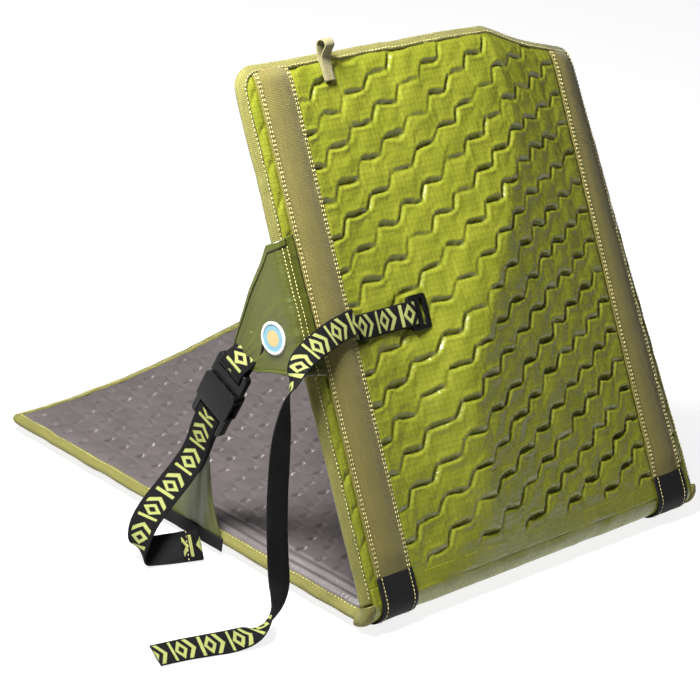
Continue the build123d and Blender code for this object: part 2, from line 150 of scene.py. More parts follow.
def slab(name, top, bottom, uv, materials):
    """A closed sheet between two grids of points; materials are for top, bottom and edge."""
    rows, columns = top.shape[:2]
    count = rows * columns
    upper = grid_quads(rows, columns)
    lower = grid_quads(rows, columns, count)[:, ::-1]
    ring = np.concatenate([
        np.arange(columns), np.arange(2, rows + 1) * columns - 1,
        count - 2 - np.arange(columns - 1), (rows - 2 - np.arange(rows - 1)) * columns])
    ring = ring[:2 * (rows + columns) - 4]
    after = np.roll(ring, -1)
    edge = np.stack([ring, after, after + count, ring + count], 1)
    faces = np.concatenate([upper, lower, edge])
    which = np.concatenate([np.zeros(len(upper)), np.ones(len(lower)), np.full(len(edge), 2)])
    slots = list(dict.fromkeys(materials))
    lookup = np.array([slots.index(m) for m in materials])
    verts = np.concatenate([top.reshape(-1, 3), bottom.reshape(-1, 3)])
    uvs = np.concatenate([uv.reshape(-1, 2)] * 2)
    return build(name, verts, faces.tolist(), uvs, slots, lookup[which.astype(int)])


def grid_normals(grid):
    along = np.gradient(grid, axis=0)
    across = np.gradient(grid, axis=1)
    return unit(np.cross(along, across))


def cloth(name, grid, thick, uv, materials):
    """A closed sheet of even thickness about a grid of points."""
    offset = grid_normals(grid) * thick / 2
    return slab(name, grid + offset, grid - offset, uv, materials)


def rings(name, loops, uv, materials, caps=True):
    """A closed tube through loops of points (stations, points round, 3)."""
    stations, around = loops.shape[:2]
    i, j = np.meshgrid(np.arange(stations - 1), np.arange(around), indexing="ij")
    a, b = (i * around + j).ravel(), (i * around + (j + 1) % around).ravel()
    faces = np.stack([a, b, b + around, a + around], 1).tolist()
    which = (j.ravel() >= around // 2).astype(int).tolist()
    if caps:
        faces.append(list(range(around))[::-1])
        faces.append([(stations - 1) * around + k for k in range(around)])
        which += [1, 1]
    which = which if len(materials) > 1 else None
    return build(name, loops.reshape(-1, 3), faces, uv.reshape(-1, 2), materials, which)


def ribbon(name, centres, across, width, thick, materials, ripple=0.0, seed=1):
    """Flat webbing along a path, its edges a little rounded."""
    centres, across = np.asarray(centres, float), unit(across)
    tangent = unit(np.gradient(centres, axis=0))
    across = unit(across - tangent * np.sum(across * tangent, axis=1, keepdims=True))
    face = np.cross(tangent, across)
    run = along_path(centres)
    profile_a = np.array([-1, -0.985, -0.93, -0.5, 0, 0.5, 0.93, 0.985, 1,
                          0.985, 0.93, 0.5, 0, -0.5, -0.93, -0.985]) * width / 2
    profile_b = np.array([0, 0.62, 1, 1, 1, 1, 1, 0.62, 0,
                          -0.62, -1, -1, -1, -1, -1, -0.62]) * thick / 2
    wave = ripple * noise(run[:, None] / 0.012, profile_a[None, :] / 0.02, seed)
    loops = (centres[:, None, :] + across[:, None, :] * profile_a[None, :, None]
             + face[:, None, :] * (profile_b[None, :] + wave)[:, :, None])
    uv = np.stack(np.broadcast_arrays(run[:, None], profile_a[None, :]), -1)
    return rings(name, loops, uv, materials)


def stitches(name, seams, material, length=2.3 * MM, pitch=3.5 * MM, thick=0.55 * MM):
    """One mesh of thread: each seam is (points, outward normals)."""
    verts, faces = [], []
    for seam_points, seam_normals in seams:
        points, normals = resample(np.asarray(seam_points, float), pitch,
                                   np.broadcast_to(seam_normals, np.shape(seam_points)))
        tangent, normals = unit(np.gradient(points, axis=0)), unit(normals)
        side = unit(np.cross(tangent, normals))
        for k, point in enumerate(points):
            first = len(verts)
            lean = (chance(k, first, 5) - 0.5) * 0.16
            direction = unit(tangent[k] + side[k] * lean)
            lift = normals[k] * thick * 0.35
            verts.append(point - direction * length / 2 - normals[k] * thick * 0.3)
            for share in (-0.25, 0.25):
                for a, b in ((1, 0), (0, 1), (-1, 0), (0, -1)):
                    verts.append(point + direction * length * share + lift
                                 + side[k] * a * thick / 2 + normals[k] * b * thick / 2)
            verts.append(point + direction * length / 2 - normals[k] * thick * 0.3)
            for q in range(4):
                r = (q + 1) % 4
                faces += [[first, first + 1 + r, first + 1 + q],
                          [first + 1 + q, first + 1 + r, first + 5 + r, first + 5 + q],
                          [first + 9, first + 5 + q, first + 5 + r]]
    uvs = np.asarray(verts)[:, 1:]
    return build(name, verts, faces, uvs, [material])


# ---- materials ---------------------------------------------------------------------------------
class Paint:
    """A short way to write a procedural material."""

    def __init__(self, name, rough=0.6, **sockets):
        self.material = bpy.data.materials.new(name)
        self.material.use_nodes = True
        self.tree = self.material.node_tree
        self.shader = self.tree.nodes["Principled BSDF"]
        self.shader.inputs["Roughness"].default_value = rough
        for socket, value in sockets.items():
            self.shader.inputs[socket.replace("_", " ")].default_value = value
        uv = self.tree.nodes.new("ShaderNodeUVMap")
        uv.uv_map = "weave"
        scale = self.tree.nodes.new("ShaderNodeVectorMath")
        scale.operation = "SCALE"
        scale.inputs["Scale"].default_value = 1000.0
        self.tree.links.new(uv.outputs["UV"], scale.inputs[0])
        self.mm = scale.outputs[0]
        parts = self.tree.nodes.new("ShaderNodeSeparateXYZ")
        self.tree.links.new(self.mm, parts.inputs[0])
        self.u, self.v = parts.outputs["X"], parts.outputs["Y"]

    def put(self, socket, value):
        if isinstance(value, bpy.types.NodeSocket):
            self.tree.links.new(value, socket)
        else:
            socket.default_value = value

    def math(self, operation, *values):
        node = self.tree.nodes.new("ShaderNodeMath")
        node.operation = operation
        for socket, value in zip(node.inputs, values):
            self.put(socket, value)
        return node.outputs[0]

    def stretched(self, along, across):
        node = self.tree.nodes.new("ShaderNodeCombineXYZ")
        self.put(node.inputs[0], self.math("MULTIPLY", self.u, along))
        self.put(node.inputs[1], self.math("MULTIPLY", self.v, across))
        return node.outputs[0]

    def noise(self, size, detail=2.0, vector=None):
        """Noise with features of about size mm."""
        node = self.tree.nodes.new("ShaderNodeTexNoise")
        node.inputs["Scale"].default_value = 1.0 / size
        node.inputs["Detail"].default_value = detail
        self.put(node.inputs["Vector"], self.mm if vector is None else vector)
        return node.outputs["Fac"]

    def ribs(self, period, way="u"):
        """0..1 ribs of that period in mm, across u or v."""
        turn = self.math("MULTIPLY", self.u if way == "u" else self.v, 2 * math.pi / period)
        return self.math("MULTIPLY_ADD", self.math("SINE", turn), 0.5, 0.5)

    def mix(self, share, a, b):
        node = self.tree.nodes.new("ShaderNodeMix")
        node.data_type = "RGBA"
        self.put(node.inputs["Factor"], share)
        for socket, colour in ((node.inputs["A"], a), (node.inputs["B"], b)):
            self.put(socket, colour if isinstance(colour, bpy.types.NodeSocket) else (*colour, 1))
        return node.outputs["Result"]

    def colour(self, value):
        self.put(self.shader.inputs["Base Color"], value)
        return self

    def rough(self, value):
        self.put(self.shader.inputs["Roughness"], value)
        return self

    def bump(self, height, distance, strength=1.0):
        """Bump with height in 0..1 over a distance in metres."""
        node = self.tree.nodes.new("ShaderNodeBump")
        node.inputs["Strength"].default_value = strength
        node.inputs["Distance"].default_value = distance
        self.put(node.inputs["Height"], height)
        if self.shader.inputs["Normal"].is_linked:
            self.tree.links.new(self.shader.inputs["Normal"].links[0].from_socket,
                                node.inputs["Normal"])
        self.tree.links.new(node.outputs[0], self.shader.inputs["Normal"])
        return self


def ripstop(name, dark, light, rough, sheen):
    """Ripstop nylon: a fine plain weave with a heavier thread every few millimetres."""
    p = Paint(name, rough=rough, Sheen_Weight=sheen, Sheen_Roughness=0.4)
    line_u = p.math("POWER", p.ribs(4.2, "u"), 14.0)
    line_v = p.math("POWER", p.ribs(4.2, "v"), 14.0)
    lines = p.math("MAXIMUM", line_u, line_v)
    cloudy = p.noise(28.0, 3.0)
    base = p.mix(cloudy, dark, light)
    fine = p.noise(1.1, 1.0)
    base = p.mix(p.math("MULTIPLY", fine, 0.25), base, dark)
    p.colour(p.mix(p.math("MULTIPLY", lines, 0.28), base, [c * 0.62 for c in dark]))
    p.rough(p.math("MULTIPLY_ADD", p.noise(9.0, 2.0), 0.18, rough - 0.09))
    p.bump(p.math("ADD", lines, p.math("MULTIPLY", p.noise(5.0, 3.0), 0.8)), 0.00022, 0.5)
    return p.material


def tape(name, dark, light, rib, across_rib, rough=0.82, sheen=0.25, depth=0.0003):
    """Woven tape with ribs across its length and finer yarns along it."""
    p = Paint(name, rough=rough, Sheen_Weight=sheen, Sheen_Roughness=0.5)
    weave = p.math("MULTIPLY", p.ribs(rib, "u"), p.ribs(across_rib, "v"))
    streak = p.noise(1.0, 2.0, p.stretched(0.05, 0.9))
    speck = p.noise(0.9, 2.0)
    share = p.math("MULTIPLY_ADD", weave, 0.35, p.math("MULTIPLY", streak, 0.45))
    share = p.math("ADD", share, p.math("MULTIPLY_ADD", speck, 0.5, -0.2))
    p.colour(p.mix(p.math("MINIMUM", p.math("MAXIMUM", share, 0.0), 1.0), dark, light))
    p.bump(p.math("ADD", weave, p.math("MULTIPLY", speck, 0.5)), depth, 0.8)
    return p.material


def motif_webbing():
    """Black webbing with a woven run of plain geometric figures in lime yarn."""
    p = Paint("webbing_motif", rough=0.85, Specular_IOR_Level=0.1)
    u = p.math("MULTIPLY", p.math("FLOOR", p.math("DIVIDE", p.u, 0.55)), 0.55)
    v = p.math("MULTIPLY", p.math("FLOOR", p.math("DIVIDE", p.v, 0.45)), 0.45)
    reach = p.math("ABSOLUTE", v)
    cell = p.math("SUBTRACT", p.math("MODULO", p.math("ADD", u, 4000.0), 24.0), 12.0)
    # a chevron, a solid lozenge and a bar in each 24 mm
    chevron = p.math("ABSOLUTE", p.math("ADD", p.math("SUBTRACT", cell, -7.0),
                                        p.math("MULTIPLY", reach, -0.62)))
    chevron = p.math("LESS_THAN", chevron, 1.75)
    lozenge = p.math("ADD", p.math("ABSOLUTE", p.math("SUBTRACT", cell, 3.6)),
                     p.math("MULTIPLY", reach, 0.62))
    ring = p.math("MULTIPLY", p.math("LESS_THAN", lozenge, 5.3), p.math("GREATER_THAN", lozenge, 2.4))
    bar = p.math("LESS_THAN", p.math("ABSOLUTE", p.math("SUBTRACT", cell, 10.6)), 1.2)
    figure = p.math("MAXIMUM", p.math("MAXIMUM", chevron, ring), bar)
    figure = p.math("MULTIPLY", figure, p.math("LESS_THAN", reach, 8.6))
    speck = p.noise(0.8, 2.0)
    weave = p.math("MULTIPLY", p.ribs(1.1, "u"), p.ribs(0.9, "v"))
    black = p.mix(p.math("MULTIPLY", weave, 0.8), (0.002, 0.002, 0.002), (0.012, 0.012, 0.013))
    lime = p.mix(p.math("MULTIPLY_ADD", speck, 0.9, -0.1), (0.17, 0.19, 0.05), (0.34, 0.35, 0.13))
    p.colour(p.mix(figure, black, lime))
    p.bump(p.math("ADD", p.math("MULTIPLY", figure, 0.9), weave), 0.0003, 0.8)
    return p.material


def black_web(name, rough=0.75):
    p = Paint(name, rough=rough, Specular_IOR_Level=0.12)
    weave = p.math("MULTIPLY", p.ribs(1.2, "u"), p.ribs(1.0, "v"))
    streak = p.noise(1.2, 2.0, p.stretched(0.06, 0.8))
    share = p.math("MULTIPLY_ADD", weave, 0.5, p.math("MULTIPLY", streak, 0.6))
    p.colour(p.mix(share, (0.002, 0.002, 0.002), (0.013, 0.013, 0.014)))
    p.bump(weave, 0.00035, 0.8)
    return p.material


def moulded(name, shade):
    """Satin moulded plastic with a fine spark-eroded grain and light scuffs."""
    p = Paint(name, rough=0.38, Specular_IOR_Level=0.12)
    scuff = p.noise(7.0, 4.0)
    p.colour(p.mix(p.math("POWER", scuff, 3.0), [shade] * 3, [shade * 3.2] * 3))
    p.rough(p.math("MULTIPLY_ADD", scuff, 0.3, 0.22))
    p.bump(p.noise(0.35, 2.0), 0.00006, 0.6)
    return p.material


GREEN = ripstop("shell_green", (0.098, 0.116, 0.007), (0.200, 0.204, 0.020), 0.27, 0.0)
WING_GREEN = ripstop("wing_green", (0.030, 0.037, 0.002), (0.068, 0.075, 0.004), 0.45, 0.0)
GREY = ripstop("inner_grey", (0.048, 0.040, 0.040), (0.092, 0.078, 0.077), 0.42, 0.03)
BINDING = tape("binding_olive", (0.036, 0.034, 0.004), (0.225, 0.208, 0.028), 1.5, 1.3, sheen=0.08)
SLEEVE = tape("sleeve_olive", (0.052, 0.042, 0.003), (0.175, 0.146, 0.018), 1.3, 1.1, sheen=0.08)
KHAKI = tape("loop_khaki", (0.10, 0.088, 0.034), (0.25, 0.225, 0.10), 1.2, 1.0, sheen=0.08)
PATCH = black_web("patch_black", 0.6)
WEB = black_web("webbing_black")
MOTIF = motif_webbing()
PLASTIC = moulded("buckle_black", 0.004)
THREAD = tape("thread_yellow", (0.55, 0.47, 0.14), (0.95, 0.86, 0.42), 0.8, 0.6, rough=0.6)
STAY = moulded("stay_grey", 0.02)


# ---- camera --------------------------------------------------------------------------------------
AZIMUTH, ELEVATION, ROLL = (math.radians(a) for a in (-47.99, 22.53, 7.27))
AIM = Vector((0.0, 0.0197, 0.1059))
DISTANCE = 2.2662
back = Vector((math.sin(AZIMUTH) * math.cos(ELEVATION),
               -math.cos(AZIMUTH) * math.cos(ELEVATION), math.sin(ELEVATION)))
level = Vector((math.cos(AZIMUTH), math.sin(AZIMUTH), 0.0))
upright = back.cross(level)
right = level * math.cos(ROLL) + upright * math.sin(ROLL)
up = upright * math.cos(ROLL) - level * math.sin(ROLL)
camera = bpy.data.objects.new("camera", bpy.data.cameras.new("camera"))
bpy.context.scene.collection.objects.link(camera)
camera.matrix_world = Matrix((
    (right.x, up.x, back.x, AIM.x + back.x * DISTANCE),
    (right.y, up.y, back.y, AIM.y + back.y * DISTANCE),
    (right.z, up.z, back.z, AIM.z + back.z * DISTANCE),
    (0.0, 0.0, 0.0, 1.0)))
camera.data.lens = 137.2
camera.data.sensor_width = 36.0
bpy.context.scene.camera = camera


# ---- loose ends of webbing ---------------------------------------------------------------------------
STRAP_TOP = np.array([0.142 + FOLD_Y, 0.175])
STRAP_DOWN = unit(np.array([0.039, -0.091]))
STRAP_ACROSS = np.array([-STRAP_DOWN[1], STRAP_DOWN[0]])


def strap_at(t, q, side):
    """A point t down the side strap's line and q out from the chair's middle."""
    t, q = np.broadcast_arrays(*(np.asarray(a, float) for a in (t, q)))
    yz = STRAP_TOP + t[..., None] * STRAP_DOWN
    return np.stack([side * q, yz[..., 0], yz[..., 1]], -1)


def nurbs_lines(*routes):
    """The smooth lines that NURBS splines of order 3 make of these control points."""
    lines = []
    for route in routes:
        curve = bpy.data.curves.new("route", "CURVE")
        curve.dimensions = "3D"
        curve.resolution_u = 10
        spline = curve.splines.new("NURBS")
        spline.points.add(len(route) - 1)
        for point, co in zip(spline.points, route):
            point.co = (*co, 1.0)
        spline.order_u = 3
        spline.use_endpoint_u = True
        holder = bpy.data.objects.new("route", curve)
        mesh = bpy.data.meshes.new_from_object(holder)
        lines.append(np.array([v.co for v in mesh.vertices]))
        bpy.data.meshes.remove(mesh)
        bpy.data.objects.remove(holder)
        bpy.data.curves.remove(curve)
    return lines


def blend_seat(obj):
    """Bakes the piece's transform into its mesh."""
    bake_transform(obj)
    return obj


def loose_end(name, node, points, front, width, thick, hem=0.0):
    """Free webbing along a route of (point, across), its motif on one face."""
    route = np.array([point for point, _ in points])
    across = unit([wide for _, wide in points])
    centre, tips = nurbs_lines(route, route + across * 0.01)
    wide = (tips - centre) * front
    obj = ribbon(name, centre, wide, width, thick, [MOTIF, WEB], 0.12 * MM, 9)
    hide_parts(node)
    extra = []
    if hem:
        run = along_path(centre)
        last = run > run[-1] - hem
        tangent = np.gradient(centre, axis=0)
        under = unit(np.cross(tangent, wide))[last] * -thick * 1.05
        extra.append(ribbon(f"{name}_hem", centre[last] + under, wide[last], width * 0.99, thick,
                            [WEB, MOTIF]))
        row_at = centre[last][2] + under[2] * 1.6
        seam = row_at + unit(wide[last][2])[None, :] * np.linspace(-0.44, 0.44, 12)[:, None] * width
        extra.append(stitches(f"{name}_bartack", [(seam, -unit(np.cross(tangent, wide))[last][2])], THREAD))
    for piece in (obj, *extra):
        blend_seat(piece)


def row(x, y, z):
    """A point of the part's drawing, in mm, in the row frame."""
    return (x * MM, y * MM + FOLD_Y, z * MM)


# the side strap's end, from its ladder lock to the fold on the floor: (x, y, z) and across, left side
TAIL = (((-215.2, 165.6, 119.9), (0.0, 0.92, 0.39)),
        ((-215.2, 171.5, 106.1), (0.0, 0.92, 0.39)),
        ((-215.9, 176.0, 81.3), (0.0, 0.92, 0.39)),
        ((-226.5, 178.5, 65.4), (0.02, 0.92, 0.39)),
        ((-240.2, 179.0, 52.1), (0.04, 0.92, 0.38)),
        ((-254.0, 178.0, 41.4), (0.05, 0.93, 0.36)),
        ((-264.0, 176.0, 32.0), (0.06, 0.93, 0.34)),
        ((-269.5, 173.5, 22.0), (0.06, 0.93, 0.34)),
        ((-270.2, 171.5, 13.5), (0.08, 0.90, 0.42)),
        ((-266.4, 170.5, 9.4), (0.12, 0.85, 0.52)),
        ((-259.0, 168.0, 10.2), (0.20, 0.74, 0.64)),
        ((-247.6, 162.7, 11.0), (0.27, 0.62, 0.74)),
        ((-232.9, 157.9, 11.2), (0.27, 0.58, 0.77)),
        ((-221.0, 154.4, 11.2), (0.26, 0.56, 0.79)))
for side_name, side in SIDES.items():
    spread, length = (1.0, 0.176) if side < 0 else (0.6, 0.160)
    points = [(row(side * (215.2 - (x + 215.2) * spread), y, z), (-side * wide[0], *wide[1:]))
              for (x, y, z), wide in TAIL]
    loose_end(f"strap_tail_{side_name}_webbing", f"strap_tail_{side_name}", points, side, STRAP_WIDTH,
              STRAP_THICK, hem=0.017)

# the roll-up strap: over the sleeve and the edge, down with a half turn, and along the floor
ROLL = (((-149.5, 84.2, 214.6), (-0.05, 0.53, 0.85)),
        ((-162.0, 83.5, 213.2), (-0.08, 0.58, 0.81)),
        ((-176.0, 82.1, 210.6), (-0.18, 0.64, 0.75)),
        ((-190.0, 79.6, 207.4), (-0.28, 0.76, 0.58)),
        ((-202.0, 78.3, 203.0), (-0.29, 0.84, 0.45)),
        ((-213.0, 77.0, 197.5), (-0.35, 0.94, 0.04)),
        ((-222.5, 71.3, 189.0), (0.17, 0.94, -0.30)),
        ((-226.1, 72.7, 177.0), (0.65, 0.64, -0.40)),
        ((-235.2, 66.7, 161.0), (0.90, 0.18, -0.39)),
        ((-239.9, 62.3, 140.0), (0.99, -0.07, -0.09)),
        ((-240.0, 60.6, 115.0), (0.99, -0.12, 0.01)),
        ((-240.0, 58.3, 90.0), (0.99, -0.12, 0.00)),
        ((-240.8, 53.7, 66.0), (0.99, -0.10, 0.07)),
        ((-236.9, 52.2, 40.0), (0.99, -0.11, 0.09)),
        ((-237.4, 48.0, 24.0), (0.90, -0.22, -0.38)),
        ((-251.1, 39.3, 14.0), (0.38, 0.11, -0.92)),
        ((-266.6, 32.3, 10.0), (-0.07, 0.75, -0.66)),
        ((-281.6, 30.3, 7.0), (-0.01, 0.97, 0.22)),
        ((-297.4, 32.8, 5.6), (0.06, 0.87, 0.45)),
        ((-317.9, 39.1, 5.2), (0.10, 0.91, 0.40)),
        ((-339.0, 45.4, 5.0), (0.20, 0.91, 0.36)),
        ((-360.0, 49.1, 5.0), (0.22, 0.90, 0.36)))
loose_end("roll_strap_tail_webbing", "roll_strap_tail", [(row(*point), wide) for point, wide in ROLL], -1.0,
          ROLL_WIDTH, ROLL_THICK)


# ---- the panels' shapes ----------------------------------------------------------------------------
def curl(x):
    """The angle that the seat's foam has curled up by, across the chair."""
    t = np.clip((x - CURL_START) / CURL_RUN, 0, 1)
    return t * t * (3 - 2 * t) * CLOSING


def seat_at(x, s, n):
    """Row-frame points of the seat, from x across, s from the fold and n down."""
    x, s, n = np.broadcast_arrays(*(np.asarray(a, float) for a in (x, s, n)))
    a = curl(x)
    return np.stack([x, FOLD_Y + s * np.cos(a) + n * np.sin(a),
                     FOLD_Z + s * np.sin(a) - n * np.cos(a)], -1)


def far_bend(x):
    """The angle that the back's far side has bent in by, as a share of the fold's travel."""
    t = np.clip((x - BEND_START) / BEND_RUN, 0, 1)
    return t * t * (3 - 2 * t) * CLOSING


def back_shape(x, s):
    """How far the back bellies out of its plane, to a crest that slants across it."""
    crest = lerp(-0.052, 0.072, smooth((s - 0.10) / 0.26))
    left = smooth((x + 0.120) / (crest + 0.120))
    right = np.clip((0.150 - x) / (0.150 - crest), 0, 1) ** 1.15
    up_share = np.clip(s / LENGTH, 0, 1)
    tall = np.sin(math.pi * up_share ** 0.85) + 0.30 * smooth((up_share - 0.7) / 0.3)
    return 0.022 * tall * np.where(x < crest, left, right)


def back_at(x, s, n):
    """Row-frame points of the back, from x across, s from the fold and n outwards."""
    x, s, n = np.broadcast_arrays(*(np.asarray(a, float) for a in (x, s, n)))
    n = n + back_shape(x, s)
    s = s * (1 - SLUMP / LENGTH * np.sin(math.pi / 2 * np.clip((x - SLUMP_START) / SLUMP_RUN, 0, 1)))
    lean = LEAN + far_bend(x)
    return np.stack([x, FOLD_Y + s * np.sin(lean) - n * np.cos(lean),
                     FOLD_Z + s * np.cos(lean) + n * np.sin(lean)], -1)


PANELS = {"seat": seat_at, "back": back_at}


def outward(panel, x, s):
    """The panel's outward normal at its outer face."""
    at = PANELS[panel]
    return unit(at(x, s, SHELL + 0.004) - at(x, s, SHELL - 0.004))


def attach(obj):
    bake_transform(obj)
    return obj


def edge_profile(d):
    """Share of the full half-thickness at a distance d in from the panel's edge."""
    return 1 - np.exp(-np.maximum(d, 0) / 0.0068)


def face_level(d, outer):
    """The n of the fabric at a distance d from the edge."""
    full = SHELL - MIDDLE if outer else MIDDLE - 0.0020
    return MIDDLE + (full if outer else -full) * edge_profile(d)


def edge_distance(x, s, corner):
    """Distance to the panel's outline, which is open at the fold."""
    dx, ds = HALF - np.abs(x), LENGTH - s
    round_off = corner - np.hypot(np.minimum(dx - corner, 0), np.minimum(ds - corner, 0))
    return np.where((dx < corner) & (ds < corner), round_off, np.minimum(dx, ds))


def hexes(u, v, mm_u, mm_v, seed):
    """Quilting on staggered cells: (closeness to a seam in mm with its strength, place in cell)."""
    column = np.round(u)
    best = np.full(u.shape, 1e9)
    home_u, home_v = np.zeros_like(u), np.zeros_like(v)
    for shift in (-1, 0, 1):
        i = column + shift
        offset = 0.5 * (np.mod(i, 2) < 0.5)
        j = np.round(v - offset)
        for step in (-1, 0, 1):
            cu, cv = i, j + step + offset
            d = ((u - cu) * mm_u) ** 2 + ((v - cv) * mm_v) ** 2
            near = d < best
            best = np.where(near, d, best)
            home_u, home_v = np.where(near, cu, home_u), np.where(near, cv, home_v)
    a, b = (u - home_u) * mm_u, (v - home_v) * mm_v
    grooves = []
    for du, dv, strong in ((0, 1, 1.0), (0, -1, 1.0), (1, 0.5, 0.05), (1, -0.5, 0.52),
                           (-1, 0.5, 0.52), (-1, -0.5, 0.05)):
        away = math.hypot(du * mm_u, dv * mm_v)
        distance = away / 2 - (a * du * mm_u + b * dv * mm_v) / away
        along = (-a * dv * mm_v + b * du * mm_u) / away
        key_u, key_v = 2 * home_u + du, 2 * (2 * home_v + dv)
        strength = strong * (0.3 + 0.9 * chance(key_u, key_v, seed))
        grooves.append((distance, along, strength))
    return grooves, a, b, home_u, home_v


def shell_lines(x, s):
    """The shell's quilting: its cells' stitched edges, and the place in each cell."""
    wander_x = 2.0 * noise(x / 0.024, s / 0.026, 11) + 0.9 * noise(x / 0.010, s / 0.009, 12)
    wander_s = 2.0 * noise(x / 0.025, s / 0.022, 13) + 0.9 * noise(x / 0.009, s / 0.010, 14)
    mm_x, mm_s = x * 1000 + wander_x, s * 1000 + wander_s
    u = -np.log(np.maximum(1 - 0.0290 * (mm_x + 4) / 26.6, 0.05)) / 0.0290
    return hexes(u, mm_s / 26.8 + 0.16, 26.0, 26.8, 3)


def stitched(x, s, reach):
    """How firmly the quilting holds the shell down, 0..1, within reach mm of a line."""
    held = np.zeros_like(x)
    for distance, along, strength in shell_lines(x, s)[0]:
        line = np.exp(-(along / 7.8) ** 4) * np.exp(-(distance / reach) ** 2)
        held = np.maximum(held, strength * line)
    return held


def settle_shell(step, frames=20):
    """The back's outer shell as cloth: cut large, held along its quilting, and puffed out."""
    x = np.arange(-0.150, 0.1505, step)
    s = np.arange(0.012, 0.4150, step)
    X, S = np.meshgrid(x, s, indexing="ij")
    held = stitched(X, S, 1.9)
    deeper = 0.65 + 0.6 * smooth((X + 0.14) / 0.28) * smooth((0.42 - S) / 0.30)
    start = np.stack([X, S, -PIN_DEPTH * deeper * smooth(held / 0.6)], -1)
    mesh = bpy.data.meshes.new("shell_cloth")
    mesh.from_pydata(start.reshape(-1, 3).tolist(), [], grid_quads(len(x), len(s)).tolist())
    obj = bpy.data.objects.new("shell_cloth", mesh)
    bpy.context.scene.collection.objects.link(obj)
    group = obj.vertex_groups.new(name="held")
    weight = smooth((held - 0.30) / 0.15)
    weight[0], weight[-1], weight[:, 0], weight[:, -1] = 1, 1, 1, 1
    for k, share in enumerate(weight.ravel().tolist()):
        if share > 0.05:
            group.add([k], share, "REPLACE")
    modifier = obj.modifiers.new("cloth", "CLOTH")
    fabric = modifier.settings
    fabric.quality, fabric.mass, fabric.air_damping = 4, 0.12, 2.0
    fabric.tension_stiffness = fabric.compression_stiffness = 20
    fabric.shear_stiffness, fabric.bending_stiffness = 8, 0.3
    fabric.vertex_group_mass, fabric.pin_stiffness = "held", 2.0
    fabric.shrink_min = -0.016
    fabric.use_pressure, fabric.uniform_pressure_force = True, 2.5
    fabric.effector_weights.gravity = 0
    modifier.collision_settings.use_collision = False
    modifier.point_cache.frame_start, modifier.point_cache.frame_end = 1, frames
    for frame_number in range(1, frames + 1):
        bpy.context.scene.frame_set(frame_number)
    settled = obj.evaluated_get(bpy.context.evaluated_depsgraph_get()).data
    flat = np.empty(len(settled.vertices) * 3)
    settled.vertices.foreach_get("co", flat)
    height = np.clip(flat.reshape(len(x), len(s), 3)[..., 2], CLOTH_LOW, CLOTH_HIGH)
    bpy.data.objects.remove(obj)
    bpy.data.meshes.remove(mesh)
    bpy.context.scene.frame_set(1)
    return x[0], s[0], step, height


def cubic(field, u, v):
    """Smooth reading of a grid of values at fractional places u, v."""
    def weights(t):
        return (((2 - t) * t - 1) * t / 2, ((3 * t - 5) * t * t + 2) / 2,
                ((4 - 3 * t) * t + 1) * t / 2, (t - 1) * t * t / 2)
    rows, columns = field.shape
    u, v = np.clip(u, 1, rows - 2.001), np.clip(v, 1, columns - 2.001)
    i, j = np.floor(u).astype(int), np.floor(v).astype(int)
    total = 0
    for a, wa in enumerate(weights(u - i)):
        for b, wb in enumerate(weights(v - j)):
            row_at, column_at = np.clip(i + a - 1, 0, rows - 1), np.clip(j + b - 1, 0, columns - 1)
            total = total + wa * wb * field[row_at, column_at]
    return total


def shell_relief(x, s):
    """Height of the quilted outer shell about its mean, in metres, worked out with no cloth."""
    grooves, a, b, cu, cv = shell_lines(x, s)
    height = 0.7 - 0.0026 * (a * a + b * b)
    height = height - 0.035 * b * (0.4 + chance(cu, cv, 21)) + 0.03 * a * (chance(cu, cv, 22) - 0.5)
    for distance, along, strength in grooves:
        taper = np.exp(-(along / 8.8) ** 4)
        height = height - 3.1 * strength * taper * np.exp(-np.abs(distance / 1.7) ** 1.25)
        height = height + 0.6 * strength * taper * np.exp(-((distance - 3.6) / 1.6) ** 2)
    return (height + noise(x / 0.0062, s / 0.0085, 31) * 0.26) * MM


SETTLED = settle_shell(2.2 * MM)


def puffed(x, s):
    """The back shell's relief: half settled cloth and half plain between the sleeves, plain beside them."""
    plain = shell_relief(x, s)
    if SETTLED is None:
        return plain
    x0, s0, step, height = SETTLED
    cloth_height = cubic(height, (x - x0) / step, (s - s0) / step) * 1.15 + 0.0006
    fine = (noise(x / 0.0050, s / 0.0065, 31) * 0.06 + noise(x / 0.0026, s / 0.0034, 32) * 0.03) * MM
    inside = smooth((0.1495 - np.abs(x)) / 0.004)
    return lerp(plain, cloth_height + fine, 0.5 * inside)


def lining_relief(x, s):
    """Height of the quilted lining: flat, with short dents in pairs."""
    mm_x = x * 1000 + 2.2 * noise(x / 0.02, s / 0.02, 41)
    mm_s = s * 1000 + 2.2 * noise(x / 0.02, s / 0.02, 42)
    u, v = mm_x / 20.5, mm_s / 19.5
    grooves, a, b = hexes(u, v, 20.5, 19.5, 7)[:3]
    height = 0.35 - 0.004 * (a * a + b * b)
    for (distance, along, strength), lead in zip(grooves, (1, 1, 0.3, 0.3, 0.3, 0.3)):
        dent = np.exp(-(along / 4.4) ** 4) * np.exp(-np.abs(distance / 1.5) ** 1.8)
        height = height - 4.6 * strength * lead * dent
        height = height + (0.5 * strength * lead * np.exp(-(along / 5) ** 4)
                           * np.exp(-((distance - 3.4) / 1.6) ** 2))
    crumple = noise(x / 0.009, s / 0.012, 43) * 0.30 + noise(x / 0.004, s / 0.005, 44) * 0.12
    return (height + crumple) * MM


